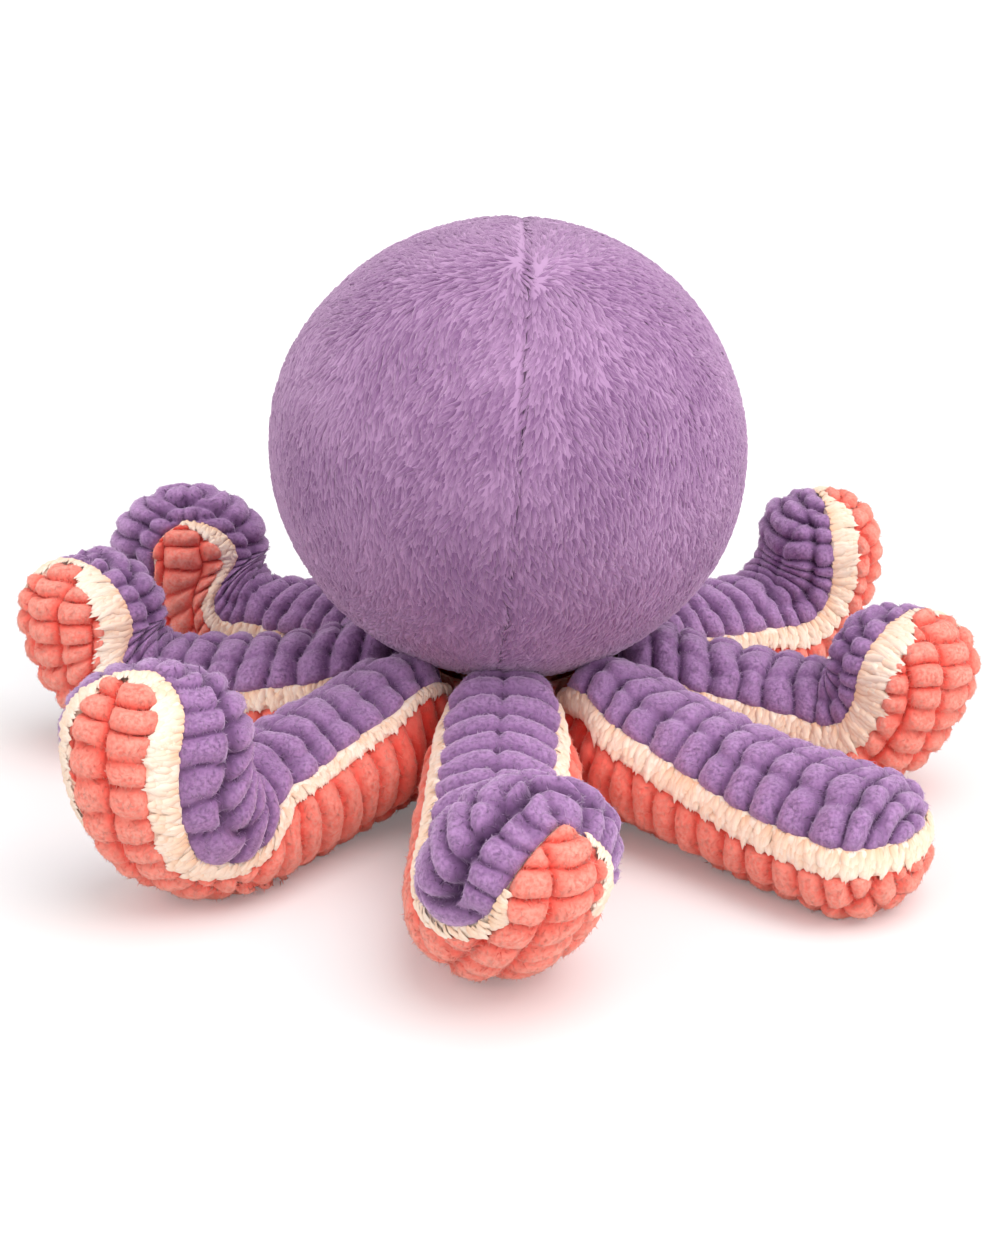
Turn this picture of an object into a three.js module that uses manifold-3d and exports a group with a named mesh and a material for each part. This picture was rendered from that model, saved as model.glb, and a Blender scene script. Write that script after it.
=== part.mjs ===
// A plush octopus: a round stuffed head on eight stuffed arms, around a belly that holds a bag of beans.
// Millimetres, +Z up, the belly's flat underside on Z = 0. The face looks along +Y, so -Y is the toy's back.

import * as THREE from "three";
import { mergeVertices } from "three/addons/utils/BufferGeometryUtils.js";
import Module from "manifold-3d";

const wasm = await Module();
wasm.setup();

// Cloth and clearances
const CLOTH = 3; // plush backing with its pile pressed flat
const SEAM_GAP = 0.5; // free space between two pieces that are sewn or lie together
const SOCKET_GAP = 0.85; // free space round the root of an arm, where it turns
const TRIM_PROUD = 1; // how far the cream trim stands out of the arm
const OVERRUN = 5; // how far a cutting solid runs past what it cuts
const PRESS = 0.5; // how deep the toe of an arm is pressed flat on the ground
const WELD = 0.001; // corners nearer than this are one

// Roots of the arms: each arm turns at its root, on a level axis square to the arm
const ARM_COUNT = 8;
const FIRST_ARM_AZIMUTH = -92; // degrees from +X, seen from above
const ROOT_HALF_HEIGHT = 23;
const ROOT_LIFT = 4; // the roots' height over the ground
const ROOT_ROOM = 3.7; // from the side of a root to the plane halfway to the next arm

// Belly and the bag of beans in it
const BELLY_RADIUS = 50;
const BELLY_FLAT_RADIUS = 34;
const BELLY_MOUTH_RADIUS = 25.5;
const BELLY_HEIGHT = ROOT_LIFT + 2 * ROOT_HALF_HEIGHT;
// The belly's outline above its flat underside: shares of its radius and of its height
const BELLY_OUTLINE_SHARES = [[0.86, 0.07], [0.95, 0.2], [1, 0.5], [0.93, 0.76], [0.74, 1]];
const JOINT_RADIUS = BELLY_RADIUS; // the arms turn on the belly's widest line
const JOINT_HEIGHT = ROOT_LIFT + ROOT_HALF_HEIGHT;
const ROOT_HALF_WIDTH = JOINT_RADIUS * Math.tan(Math.PI / ARM_COUNT) - ROOT_ROOM;
const BAG_ROOM = 2; // free space from the bag to the roots of the arms
const BAG_ROUNDNESS = 0.6; // 1 makes the bag an ellipsoid, and 0 a cylinder

// Head, sunk into the belly's top
const HEAD_RADIUS = 82;
const HEAD_HALF_HEIGHT = 78.5;
const HEAD_SINK = 10;
const HEAD_CENTRE_HEIGHT = BELLY_HEIGHT - HEAD_SINK + HEAD_HALF_HEIGHT;
const NECK_RADIUS = 22;
const HEAD_LEAN = 4; // degrees by which the crown leans towards +X
const BACK_SEAM_TURN = 1.5; // degrees from -Y, towards +X
const GORES = ["back_right", "front_right", "front_left", "back_left"];

// Eyes
const EYE_RADIUS = 8;
const EYE_DOME_HEIGHT = 5.5;
const EYE_STEM_RADIUS = 2.2;
const EYE_STEM_LENGTH = 11;
const EYE_SPREAD = 27; // degrees to each side of the face's middle
const EYE_DROP = 4; // degrees below the head's widest line
const EYE_SEAT = 0.3; // free space under the dome and round the stem
const WASHER_RADIUS = 7.5;
const WASHER_THICKNESS = 2;

// Arms beyond their roots
const ARM_LENGTH = 116; // along the middle line, from the joint to the middle of the toe
const BODY_HALF_WIDTH = 24;
const BODY_HALF_HEIGHT = 22;
const TOE_HALF_WIDTH = 27;
const TOE_HALF_HEIGHT = 21;
const TOE_REACH = 20; // from the middle of the toe to its end
const ROOT_SEAM_SETBACK = 8; // how far the cloth runs inwards past the joint
const SWELL_SHARE = 0.16; // share of the arm over which the root swells to the body
const FLARE_SHARE = 0.5; // share of the arm where the body starts to flare to the toe
const TWIST_END_SHARE = 0.75; // share of the arm over which the seams' twist at the root fades out
const ROLL_START_SHARE = 0.45; // share of the arm where the toe's roll begins
const PITCH_LIMIT = 25; // degrees up or down within which an arm leaves the belly to rest on the ground
const PITCH_TRIALS = 24;
const UPPER_SEAM = 20; // degrees round the arm from its widest line to the purple panel
const LOWER_SEAM = -14; // and to the coral panel
const TOP_LINE = 90;

// The arms in order round the belly, counterclockwise from above. Each run, root first, is the run's share of
// the arm's length, and the degrees it bends up and to the left over that share. twist turns the seams round
// the arm at its root, and roll turns the toe about the arm's own line.
const ARMS = [
  { name: "back", twist: 0, roll: 45, lengthShare: 1.14,
    runs: [[0.32, -6, -1], [0.3, 0, 2], [0.38, 72, 28]] },
  { name: "back_right", twist: 20, roll: 0, lengthShare: 0.88,
    runs: [[0.42, -3, 3], [0.3, 1, 3], [0.28, 2, 3]] },
  { name: "right", twist: 8, roll: -20, lengthShare: 0.9,
    runs: [[0.32, -6, -11], [0.28, 6, -9], [0.4, 86, 0]] },
  { name: "front_right", twist: 0, roll: -20, lengthShare: 1.1,
    runs: [[0.32, -6, -6], [0.28, 6, -7], [0.4, 92, -6]] },
  { name: "front", twist: 0, roll: 0, lengthShare: 1,
    runs: [[0.32, -6, 0], [0.3, 6, 0], [0.38, 84, 0]] },
  { name: "front_left", twist: 0, roll: 52, lengthShare: 1.1,
    runs: [[0.32, -6, 12], [0.28, 6, 14], [0.4, 92, 6]] },
  { name: "left", twist: -8, roll: 30, lengthShare: 1.05,
    runs: [[0.32, -6, -6], [0.28, 6, -4], [0.4, 90, 0]] },
  { name: "back_left", twist: -20, roll: -12, lengthShare: 1.14,
    runs: [[0.3, -6, 6], [0.27, 4, 1], [0.43, 104, -4]] },
];

// How finely the shapes are divided
const TRACE_STEPS = 24; // steps along each run
const RUN_STATIONS = [2, 2, 4]; // sections kept on each run
const TOE_STEPS = 4;
const TOP_STEPS = 2;
const SOLE_STEPS = 3;
const TRIM_STEPS = 1;
const ROOT_CAP_STEPS = 3;
const GORE_STEPS = 6;
const GORE_ROWS = 10;
const BAG_ROWS = 8;
const EYE_ROWS = 4;
const SOCKET_SIDES = 16;
const SOCKET_ROWS = 8;
const BELLY_SIDES = 32;
const BAG_SIDES = 16;
const EYE_SIDES = 14;

const rad = THREE.MathUtils.degToRad;
const UP = new THREE.Vector3(0, 0, 1);
const SIDEWAYS = new THREE.Vector3(0, 1, 0);
const QUARTER = Math.PI / 2;
const HEAD_CENTRE = new THREE.Vector3(0, 0, HEAD_CENTRE_HEIGHT);
const GORE_START = -QUARTER + rad(BACK_SEAM_TURN);
const NECK_COLATITUDE = Math.PI - Math.asin(NECK_RADIUS / HEAD_RADIUS);
// How far the middle of a flat facet of the head lies under the true surface
const FACET_DEPTH = HEAD_RADIUS * (1 - Math.cos(QUARTER / GORE_STEPS / 2));

const COLOURS = {
  mantle: { color: 0xa57cac, roughness: 0.95 },
  arm: { color: 0x9a78b0, roughness: 0.95 },
  sole: { color: 0xf27a68, roughness: 0.95 },
  trim: { color: 0xf8dfcf, roughness: 1 },
  stuffing: { color: 0xf4f2ee, roughness: 1 },
  bag: { color: 0xd9d3c7, roughness: 0.9 },
  eye: { color: 0x14110f, roughness: 0.15 },
  washer: { color: 0xe8e8e6, roughness: 0.5 },
};

// Makes a named mesh, its finish one of COLOURS.
function piece(name, geometry, finish) {
  const mesh = new THREE.Mesh(geometry, new THREE.MeshStandardMaterial({ metalness: 0, ...COLOURS[finish] }));
  mesh.name = name;
  return mesh;
}

// A closed geometry from triangles given as corner points. Corners that fall together make no triangle.
function closedGeometry(triangles) {
  const flat = new Float32Array(triangles.flatMap((t) => t.flatMap((p) => [p.x, p.y, p.z])));
  const geometry = new THREE.BufferGeometry().setAttribute("position", new THREE.BufferAttribute(flat, 3));
  const merged = mergeVertices(geometry, WELD);
  const kept = [];
  for (let i = 0; i < merged.index.count; i += 3) {
    const [a, b, c] = [merged.index.getX(i), merged.index.getX(i + 1), merged.index.getX(i + 2)];
    if (a !== b && b !== c && c !== a) kept.push(a, b, c);
  }
  merged.setIndex(kept);
  return facingOut(merged);
}

// Turns a closed geometry's faces round if they point inwards.
function facingOut(geometry) {
  const position = geometry.getAttribute("position");
  const index = Array.from(geometry.index.array);
  const corner = (i) => new THREE.Vector3().fromBufferAttribute(position, index[i]);
  let volume = 0;
  for (let i = 0; i < index.length; i += 3) volume += corner(i).dot(corner(i + 1).cross(corner(i + 2)));
  if (volume < 0) index.reverse();
  geometry.setIndex(index);
  return geometry;
}

// The triangles of a grid of points, rows by columns.
function sheet(grid) {
  const triangles = [];
  for (let i = 0; i + 1 < grid.length; i++) {
    for (let j = 0; j + 1 < grid[i].length; j++) {
      const [a, b, c, d] = [grid[i][j], grid[i + 1][j], grid[i + 1][j + 1], grid[i][j + 1]];
      triangles.push([a, b, c], [a, c, d]);
    }
  }
  return triangles;
}

// A piece of cloth between an outer and an inner grid of the same shape. Its rim is closed along the first
// and last rows, and along the first and last columns where rims says so.
function cloth(outer, inner, rims) {
  const last = outer[0].length - 1;
  const end = outer.length - 1;
  const column = (grid, j) => grid.map((row) => row[j]);
  const flipped = (triangles) => triangles.map(([a, b, c]) => [a, c, b]);
  const triangles = [...sheet(outer), ...flipped(sheet(inner))];
  triangles.push(...sheet([inner[0], outer[0]]), ...sheet([outer[end], inner[end]]));
  // Both long rims are divided along the same diagonals, so that two twisted neighbours stay clear.
  if (rims.first) triangles.push(...sheet([column(outer, 0), column(inner, 0)]));
  if (rims.last) triangles.push(...flipped(sheet([column(outer, last), column(inner, last)])));
  return closedGeometry(triangles);
}

// A geometry as a solid that can be cut and joined, and back.
function solid(geometry, matrix = new THREE.Matrix4()) {
  const bare = new THREE.BufferGeometry();
  bare.setAttribute("position", geometry.getAttribute("position").clone());
  if (geometry.index) bare.setIndex(geometry.index.clone());
  const merged = mergeVertices(bare.applyMatrix4(matrix), WELD);
  return new wasm.Manifold(new wasm.Mesh({
    numProp: 3,
    vertProperties: merged.getAttribute("position").array,
    triVerts: new Uint32Array(merged.index.array),
  }));
}

function geometryOf(manifold) {
  const mesh = manifold.getMesh();
  const geometry = new THREE.BufferGeometry();
  geometry.setAttribute("position", new THREE.BufferAttribute(new Float32Array(mesh.vertProperties), 3));
  geometry.setIndex(Array.from(mesh.triVerts));
  return geometry;
}

// A body turned round +Z from a profile of [radius, height] points that starts and ends on the axis.
function turned(profile, sides) {
  const lathe = new THREE.LatheGeometry(profile.map(([r, z]) => new THREE.Vector2(r, z)), sides);
  const upright = lathe.applyMatrix4(new THREE.Matrix4().makeRotationX(Math.PI / 2));
  const bare = new THREE.BufferGeometry().setAttribute("position", upright.getAttribute("position"));
  const corners = bare.setIndex(upright.index).toNonIndexed().getAttribute("position");
  const corner = (_, i) => new THREE.Vector3().fromBufferAttribute(corners, i);
  const points = Array.from({ length: corners.count }, corner);
  // The points on the axis are set to it exactly, so that they merge.
  for (const p of points) if (Math.hypot(p.x, p.y) < WELD) p.set(0, 0, p.z);
  return closedGeometry(Array.from({ length: points.length / 3 }, (_, i) => points.slice(3 * i, 3 * i + 3)));
}

// A point on an ellipsoid round the head's centre, inset from the head's surface.
function headPoint(longitude, colatitude, inset) {
  const level = (HEAD_RADIUS - inset) * Math.sin(colatitude);
  const height = (HEAD_HALF_HEIGHT - inset) * Math.cos(colatitude);
  return new THREE.Vector3(level * Math.cos(longitude), level * Math.sin(longitude), height)
    .applyAxisAngle(SIDEWAYS, rad(HEAD_LEAN))
    .add(HEAD_CENTRE);
}

// A grid of points on the head from the crown down to the neck, over a number of gores.
function headGrid(first, gores, inset) {
  return Array.from({ length: gores * GORE_STEPS + 1 }, (_, i) =>
    Array.from({ length: GORE_ROWS + 1 }, (_, j) =>
      headPoint(GORE_START + QUARTER * (first + i / GORE_STEPS), (NECK_COLATITUDE * j) / GORE_ROWS, inset)));
}

// A ball with the head's centre and shape, inset from its surface.
function headBall(inset) {
  const bottom = headPoint(0, Math.PI, inset);
  const grid = headGrid(0, GORES.length, inset).map((row) => [...row, bottom]);
  return closedGeometry(sheet(grid));
}

// One gore of the head: a quarter of its skin, from the crown to the neck's opening.
function gore(number) {
  const middle = GORE_START + QUARTER * (number + 1 / 2);
  const apart = SEAM_GAP / Math.SQRT2;
  const skin = cloth(headGrid(number, 1, 0), headGrid(number, 1, CLOTH), { first: true, last: true });
  return skin.translate(apart * Math.cos(middle), apart * Math.sin(middle), 0);
}

// Where an eye sits: +Z points out of the head, and the origin is on the head's surface.
function eyeSeat(side) {
  const longitude = QUARTER + rad(BACK_SEAM_TURN + side * EYE_SPREAD);
  const point = headPoint(longitude, QUARTER + rad(EYE_DROP), 0);
  const outwards = point.clone().sub(HEAD_CENTRE).normalize();
  const turn = new THREE.Matrix4().makeRotationFromQuaternion(
    new THREE.Quaternion().setFromUnitVectors(UP, outwards));
  return turn.setPosition(point);
}

// The eye's dome and its stem, which goes through the cloth.
function eye() {
  const arc = Array.from({ length: EYE_ROWS + 1 }, (_, i) => {
    const turn = QUARTER * (i / EYE_ROWS);
    return [EYE_RADIUS * Math.cos(turn), EYE_SEAT + EYE_DOME_HEIGHT * Math.sin(turn)];
  });
  arc[arc.length - 1][0] = 0;
  const stem = [[0, -EYE_STEM_LENGTH], [EYE_STEM_RADIUS, -EYE_STEM_LENGTH], [EYE_STEM_RADIUS, EYE_SEAT]];
  return turned([...stem, ...arc], EYE_SIDES);
}

// The washer that holds an eye from inside, against the cloth.
function washer() {
  const bore = EYE_STEM_RADIUS + EYE_SEAT;
  const top = -CLOTH - SEAM_GAP - 2 * FACET_DEPTH;
  const bottom = top - WASHER_THICKNESS;
  const ring = turned([[0, bottom], [WASHER_RADIUS, bottom], [WASHER_RADIUS, top], [0, top]], EYE_SIDES);
  return geometryOf(solid(ring).subtract(plug(bore, bottom - OVERRUN, top + OVERRUN)));
}

// A straight round solid along +Z, for cutting holes.
function plug(radius, from, to) {
  return solid(turned([[0, from], [radius, from], [radius, to], [0, to]], EYE_SIDES));
}

// The belly: coral cloth from the flat underside up to the head, open where the arms and the head's filling
// go in.
function belly() {
  const outline = (inset) => [
    [0, inset],
    [BELLY_FLAT_RADIUS - inset, inset],
    ...BELLY_OUTLINE_SHARES.map(([radiusShare, heightShare]) =>
      [radiusShare * BELLY_RADIUS - inset, inset + heightShare * (BELLY_HEIGHT - 2 * inset)]),
    [0, BELLY_HEIGHT - inset],
  ];
  let body = solid(turned(outline(0), BELLY_SIDES));
  body = body.subtract(solid(turned(outline(CLOTH), BELLY_SIDES)));
  body = body.subtract(plug(BELLY_MOUTH_RADIUS, JOINT_HEIGHT, BELLY_HEIGHT + OVERRUN));
  body = body.subtract(solid(headBall(-SOCKET_GAP)));
  for (const arm of ARMS) body = body.subtract(solid(socket(), jointFrame(arm)));
  return geometryOf(body);
}

// The room that an arm's root turns in, its axis along Y.
function socket() {
  const ball = new THREE.SphereGeometry(1, SOCKET_SIDES, SOCKET_ROWS);
  // The facets, and not only the corners, stay clear of the arm and its proud trim.
  const clear = (half) => (half + TRIM_PROUD + SOCKET_GAP) / Math.cos(Math.PI / SOCKET_SIDES);
  return ball.scale(clear(ROOT_HALF_HEIGHT), clear(ROOT_HALF_WIDTH), clear(ROOT_HALF_HEIGHT));
}

// The bag of beans, a squat pillow between the roots of the arms.
function bag() {
  const foot = CLOTH + SEAM_GAP;
  const height = BELLY_HEIGHT - HEAD_SINK - SEAM_GAP - foot;
  const radius = JOINT_RADIUS - ROOT_HALF_HEIGHT - BAG_ROOM;
  const profile = Array.from({ length: BAG_ROWS + 1 }, (_, i) => {
    const turn = Math.PI * (i / BAG_ROWS);
    return [radius * Math.sin(turn) ** BAG_ROUNDNESS, foot + (height * (1 - Math.cos(turn))) / 2];
  });
  profile[BAG_ROWS][0] = 0;
  return turned(profile, BAG_SIDES);
}

// An arm's direction from +X, seen from above.
function azimuthOf(arm) {
  return rad(FIRST_ARM_AZIMUTH) + (ARMS.indexOf(arm) * 2 * Math.PI) / ARM_COUNT;
}

// The joint's frame for an arm: X along the arm, Y along the hinge's axis, Z up.
function jointFrame(arm) {
  const turn = azimuthOf(arm);
  return new THREE.Matrix4().makeRotationZ(turn)
    .setPosition(JOINT_RADIUS * Math.cos(turn), JOINT_RADIUS * Math.sin(turn), JOINT_HEIGHT);
}

// The sections that an arm's surface is built on, root first. Each has a place along the arm from its joint,
// a point on the middle line, and three directions: along, right and up. The arm leaves its joint at a pitch.
function stations(arm, pitch) {
  const azimuth = azimuthOf(arm);
  const along = new THREE.Vector3(Math.cos(azimuth), Math.sin(azimuth), 0);
  const right = new THREE.Vector3(Math.sin(azimuth), -Math.cos(azimuth), 0);
  const up = UP.clone();
  const point = new THREE.Vector3(JOINT_RADIUS * along.x, JOINT_RADIUS * along.y, JOINT_HEIGHT);
  const turn = (axis, angle) => [along, right, up].forEach((v) => v.applyAxisAngle(axis, angle));
  turn(right.clone(), rad(pitch));
  const length = ARM_LENGTH * arm.lengthShare;
  const station = (place) => {
    const share = place / length;
    const roll = rad(arm.roll) * smooth((share - ROLL_START_SHARE) / (1 - ROLL_START_SHARE));
    return { place, share, point: point.clone(), along: along.clone(),
      right: right.clone().applyAxisAngle(along, roll), up: up.clone().applyAxisAngle(along, roll) };
  };
  const kept = [station(0)];
  let place = 0;
  arm.runs.forEach(([share, bendUp, bendLeft], run) => {
    const step = (length * share) / TRACE_STEPS;
    for (let k = 1; k <= TRACE_STEPS; k++) {
      turn(up.clone(), rad(bendLeft / TRACE_STEPS));
      turn(right.clone(), rad(bendUp / TRACE_STEPS));
      point.addScaledVector(along, step);
      place += step;
      if (k % (TRACE_STEPS / RUN_STATIONS[run]) === 0) kept.push(station(place));
    }
  });
  return kept;
}

// The same section moved back from the joint, straight inwards.
function behindJoint(first, distance) {
  return { ...first, place: -distance, point: first.point.clone().addScaledVector(first.along, -distance) };
}

const smooth = (x) => THREE.MathUtils.smoothstep(x, 0, 1);

// Half the arm's width and height at a station, inset from its surface. Behind the joint both shrink as a
// ball does that turns on the hinge's axis.
function halfSizes(station, inset) {
  const root = ROOT_HALF_HEIGHT - inset;
  if (station.place < 0) {
    const shrink = Math.sqrt(Math.max(0, 1 - (station.place / root) ** 2));
    return [(ROOT_HALF_WIDTH - inset) * shrink, root * shrink];
  }
  const swell = smooth(station.share / SWELL_SHARE);
  const flare = smooth((station.share - FLARE_SHARE) / (1 - FLARE_SHARE));
  const blend = (a, b, c) => a + (b - a) * swell + (c - b) * flare - inset;
  return [
    blend(ROOT_HALF_WIDTH, BODY_HALF_WIDTH, TOE_HALF_WIDTH),
    blend(ROOT_HALF_HEIGHT, BODY_HALF_HEIGHT, TOE_HALF_HEIGHT),
  ];
}

// A point on one side of a section. level runs in degrees from -90 on the sole's middle line, through 0 on
// the widest line, to 90 on the top line.
function sidePoint(arm, station, side, level, inset) {
  const [width, height] = halfSizes(station, inset);
  const twist = rad(arm.twist) * (1 - smooth(station.share / TWIST_END_SHARE));
  const angle = (side > 0 ? rad(level) : Math.PI - rad(level)) + twist;
  return station.point.clone()
    .addScaledVector(station.right, width * Math.cos(angle))
    .addScaledVector(station.up, height * Math.sin(angle));
}

// A point on the round end of the toe, where turn goes from -90 on the left side to 90 on the right.
function toePoint(station, turn, level, inset) {
  const [width, height] = halfSizes(station, inset);
  const spread = Math.cos(rad(level));
  return station.point.clone()
    .addScaledVector(station.right, width * Math.sin(rad(turn)) * spread)
    .addScaledVector(station.along, (TOE_REACH - inset) * Math.cos(rad(turn)) * spread)
    .addScaledVector(station.up, height * Math.sin(rad(level)));
}

// Even levels round an arm, from one to another.
function levelsOf(from, to, steps) {
  return Array.from({ length: steps + 1 }, (_, j) => from + ((to - from) * j) / steps);
}

const TOP_LEVELS = levelsOf(UPPER_SEAM, TOP_LINE, TOP_STEPS);
const TRIM_LEVELS = levelsOf(LOWER_SEAM, UPPER_SEAM, TRIM_STEPS);
const SOLE_LEVELS = levelsOf(-TOP_LINE, LOWER_SEAM, SOLE_STEPS);

// A grid over an arm's surface: its rows go up the left side, round the toe and back down the right side, and
// its columns run through the levels.
function armGrid(arm, sections, levels, inset) {
  const toe = sections[sections.length - 1];
  const row = (make) => levels.map(make);
  const left = sections.map((s) => row((level) => sidePoint(arm, s, -1, level, inset)));
  const right = sections.map((s) => row((level) => sidePoint(arm, s, 1, level, inset))).reverse();
  const end = levelsOf(-90, 90, TOE_STEPS).slice(1, -1)
    .map((turn) => row((level) => toePoint(toe, turn, level, inset)));
  return [...left, ...end, ...right];
}

// The sections of an arm at the pitch at which its sole presses on the ground.
function restingStations(arm) {
  let [down, up] = [-PITCH_LIMIT, PITCH_LIMIT];
  for (let trial = 0; trial < PITCH_TRIALS; trial++) {
    const pitch = (down + up) / 2;
    const heights = armGrid(arm, stations(arm, pitch), SOLE_LEVELS, 0).flat().map((point) => point.z);
    if (Math.min(...heights) < -PRESS) down = pitch;
    else up = pitch;
  }
  return stations(arm, up);
}

// One cloth panel of an arm. low and high say which of its long edges are seams, which stand apart from the
// next panel. The others are the arm's middle lines, where the panel's left and right sides are one.
function armCloth(arm, run, levels, proud, { low = false, high = false }) {
  const sections = [behindJoint(run[0], ROOT_SEAM_SETBACK), ...run];
  const gap = THREE.MathUtils.radToDeg(SEAM_GAP / BODY_HALF_HEIGHT) / 2;
  const apart = levels.slice();
  if (low) apart[0] += gap;
  if (high) apart[apart.length - 1] -= gap;
  const grid = (inset) => armGrid(arm, sections, apart, inset);
  return cloth(grid(-proud), grid(CLOTH), { first: low, last: high });
}

// The filling of an arm, with the ball at its root.
function armStuffing(arm, run) {
  const inset = CLOTH + SEAM_GAP;
  const ball = ROOT_HALF_HEIGHT - inset;
  const cap = Array.from({ length: ROOT_CAP_STEPS }, (_, k) =>
    behindJoint(run[0], ball * Math.cos(QUARTER * (k / ROOT_CAP_STEPS))));
  const levels = [...SOLE_LEVELS, ...TRIM_LEVELS.slice(1), ...TOP_LEVELS.slice(1)];
  return closedGeometry(sheet(armGrid(arm, [...cap, ...run], levels, inset)));
}

// The coral panel stands on the ground, so it is pressed flat there.
function onGround(geometry) {
  const size = 4 * (JOINT_RADIUS + ARM_LENGTH);
  const ground = new THREE.BoxGeometry(size, size, size).translate(0, 0, -size / 2);
  return geometryOf(solid(geometry).subtract(solid(ground)));
}

const octopus = new THREE.Group();

for (const arm of ARMS) {
  const name = `arm_${arm.name}`;
  const run = restingStations(arm);
  const sole = armCloth(arm, run, SOLE_LEVELS, 0, { high: true });
  octopus.add(
    piece(`${name}_top`, armCloth(arm, run, TOP_LEVELS, 0, { low: true }), "arm"),
    piece(`${name}_trim`, armCloth(arm, run, TRIM_LEVELS, TRIM_PROUD, { low: true, high: true }), "trim"),
    piece(`${name}_sole`, onGround(sole), "sole"),
    piece(`${name}_stuffing`, armStuffing(arm, run), "stuffing"));
}

const stemRoom = plug(EYE_STEM_RADIUS + EYE_SEAT, -EYE_STEM_LENGTH, OVERRUN);
const washerRoom = plug(WASHER_RADIUS + SEAM_GAP, -EYE_STEM_LENGTH - EYE_SEAT, OVERRUN);
const eyes = [["right", -1], ["left", 1]].map(([side, sign]) => ({ side, seat: eyeSeat(sign) }));
const elements = (matrix) => Array.from(matrix.elements);

GORES.forEach((name, number) => {
  let skin = solid(gore(number));
  for (const { seat } of eyes) skin = skin.subtract(stemRoom.transform(elements(seat)));
  octopus.add(piece(`head_${name}`, geometryOf(skin), "mantle"));
});

let filling = solid(headBall(CLOTH + SEAM_GAP));
for (const { seat } of eyes) filling = filling.subtract(washerRoom.transform(elements(seat)));
octopus.add(piece("head_stuffing", geometryOf(filling), "stuffing"));

for (const { side, seat } of eyes) {
  octopus.add(piece(`eye_${side}`, eye().applyMatrix4(seat), "eye"));
  octopus.add(piece(`eye_washer_${side}`, washer().applyMatrix4(seat), "washer"));
}

octopus.add(piece("belly", belly(), "sole"), piece("bean_bag", bag(), "bag"));

export default octopus;
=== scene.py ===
"""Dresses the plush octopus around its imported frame.

The head is four gores of short combed fur. Each arm is a ribbed top, a long-piled trim and a lobed sole round its
filling, and the belly is a dimpled tub in which the roots of the arms turn. Sizes are in millimetres and angles in
degrees until a mesh is made, which is in metres like the frame.
"""

import logging
import math
from dataclasses import dataclass, field
from enum import Enum, IntEnum

import bpy
import numpy as np
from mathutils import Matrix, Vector


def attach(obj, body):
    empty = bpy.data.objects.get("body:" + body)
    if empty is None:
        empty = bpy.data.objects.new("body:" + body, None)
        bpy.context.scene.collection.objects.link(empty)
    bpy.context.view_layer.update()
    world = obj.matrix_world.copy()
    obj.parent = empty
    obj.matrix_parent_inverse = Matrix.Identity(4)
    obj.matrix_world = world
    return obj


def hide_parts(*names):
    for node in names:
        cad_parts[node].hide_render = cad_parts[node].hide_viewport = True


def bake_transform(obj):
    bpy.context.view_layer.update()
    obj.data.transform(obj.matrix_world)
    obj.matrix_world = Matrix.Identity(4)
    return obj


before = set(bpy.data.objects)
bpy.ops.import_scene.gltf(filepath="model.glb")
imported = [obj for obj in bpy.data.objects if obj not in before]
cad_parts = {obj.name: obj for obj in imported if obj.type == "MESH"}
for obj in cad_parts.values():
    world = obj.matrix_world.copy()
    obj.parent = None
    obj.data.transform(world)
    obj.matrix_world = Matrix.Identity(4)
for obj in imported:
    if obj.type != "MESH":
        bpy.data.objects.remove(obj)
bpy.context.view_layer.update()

Array = np.ndarray
Socket = bpy.types.NodeSocket
Node = bpy.types.Node
Piece = bpy.types.Object
Pair = tuple[float, float]
Triple = tuple[float, float, float]
Colour = tuple[float, float, float, float]

MILLIMETRE = 0.001
HULL_BODY = "body"
WELD = 0.001

log = logging.getLogger("octopus")


class Seed(IntEnum):
    """Where each random draw starts. The number of the arm or the gore is added to it."""

    BEANS = 3
    HEAD = 7
    FUR = 40
    ARM = 100
    TUFTS = 500
    TOP_NAP = 900
    SOLE_NAP = 950


def smooth(value: Array) -> Array:
    """A smooth step from 0 to 1: with t the value kept from 0 to 1, it is 3 t squared less 2 t cubed."""
    t = np.clip(value, 0.0, 1.0)
    return t * t * (3.0 - 2.0 * t)


def bell(value: Array) -> Array:
    """A bell that is 1 where the value is 0, and falls as e to minus the value squared."""
    return np.exp(-(value**2))


def pillow(share: Array, power: float) -> Array:
    """A pillow's height over its width, from 0 up to 1 and back: the root of 1 less |2 share - 1| to a power."""
    return np.sqrt(np.maximum(0.0, 1.0 - np.abs(2.0 * share - 1.0) ** power))


def ripple(phase: Array, power: float) -> Array:
    """Pillows side by side with sharp valleys between them, one for each whole step of the phase."""
    return pillow(phase - np.floor(phase), power)


def brink(value: Array) -> Array:
    """What relief keeps of its height near a seam: 0.3 on it, and more by a quarter circle up to 1 at value 1."""
    return 0.3 + 0.7 * np.sqrt(1.0 - (1.0 - np.clip(value, 0.0, 1.0)) ** 2)


def unit(vectors: Array) -> Array:
    """Each vector divided by its length."""
    return vectors / np.maximum(np.linalg.norm(vectors, axis=-1, keepdims=True), 1e-12)


def dot(first: Array, second: Array) -> Array:
    """The dot product of each vector in one list with its fellow in the other."""
    return np.einsum("ij,ij->i", first, second)


def swung(first: Array, second: Array, angle: Array) -> Array:
    """Unit vectors that lie an angle in radians from the first ones towards the second ones."""
    return unit(first * np.cos(angle)[:, None] + second * np.sin(angle)[:, None])


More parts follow.
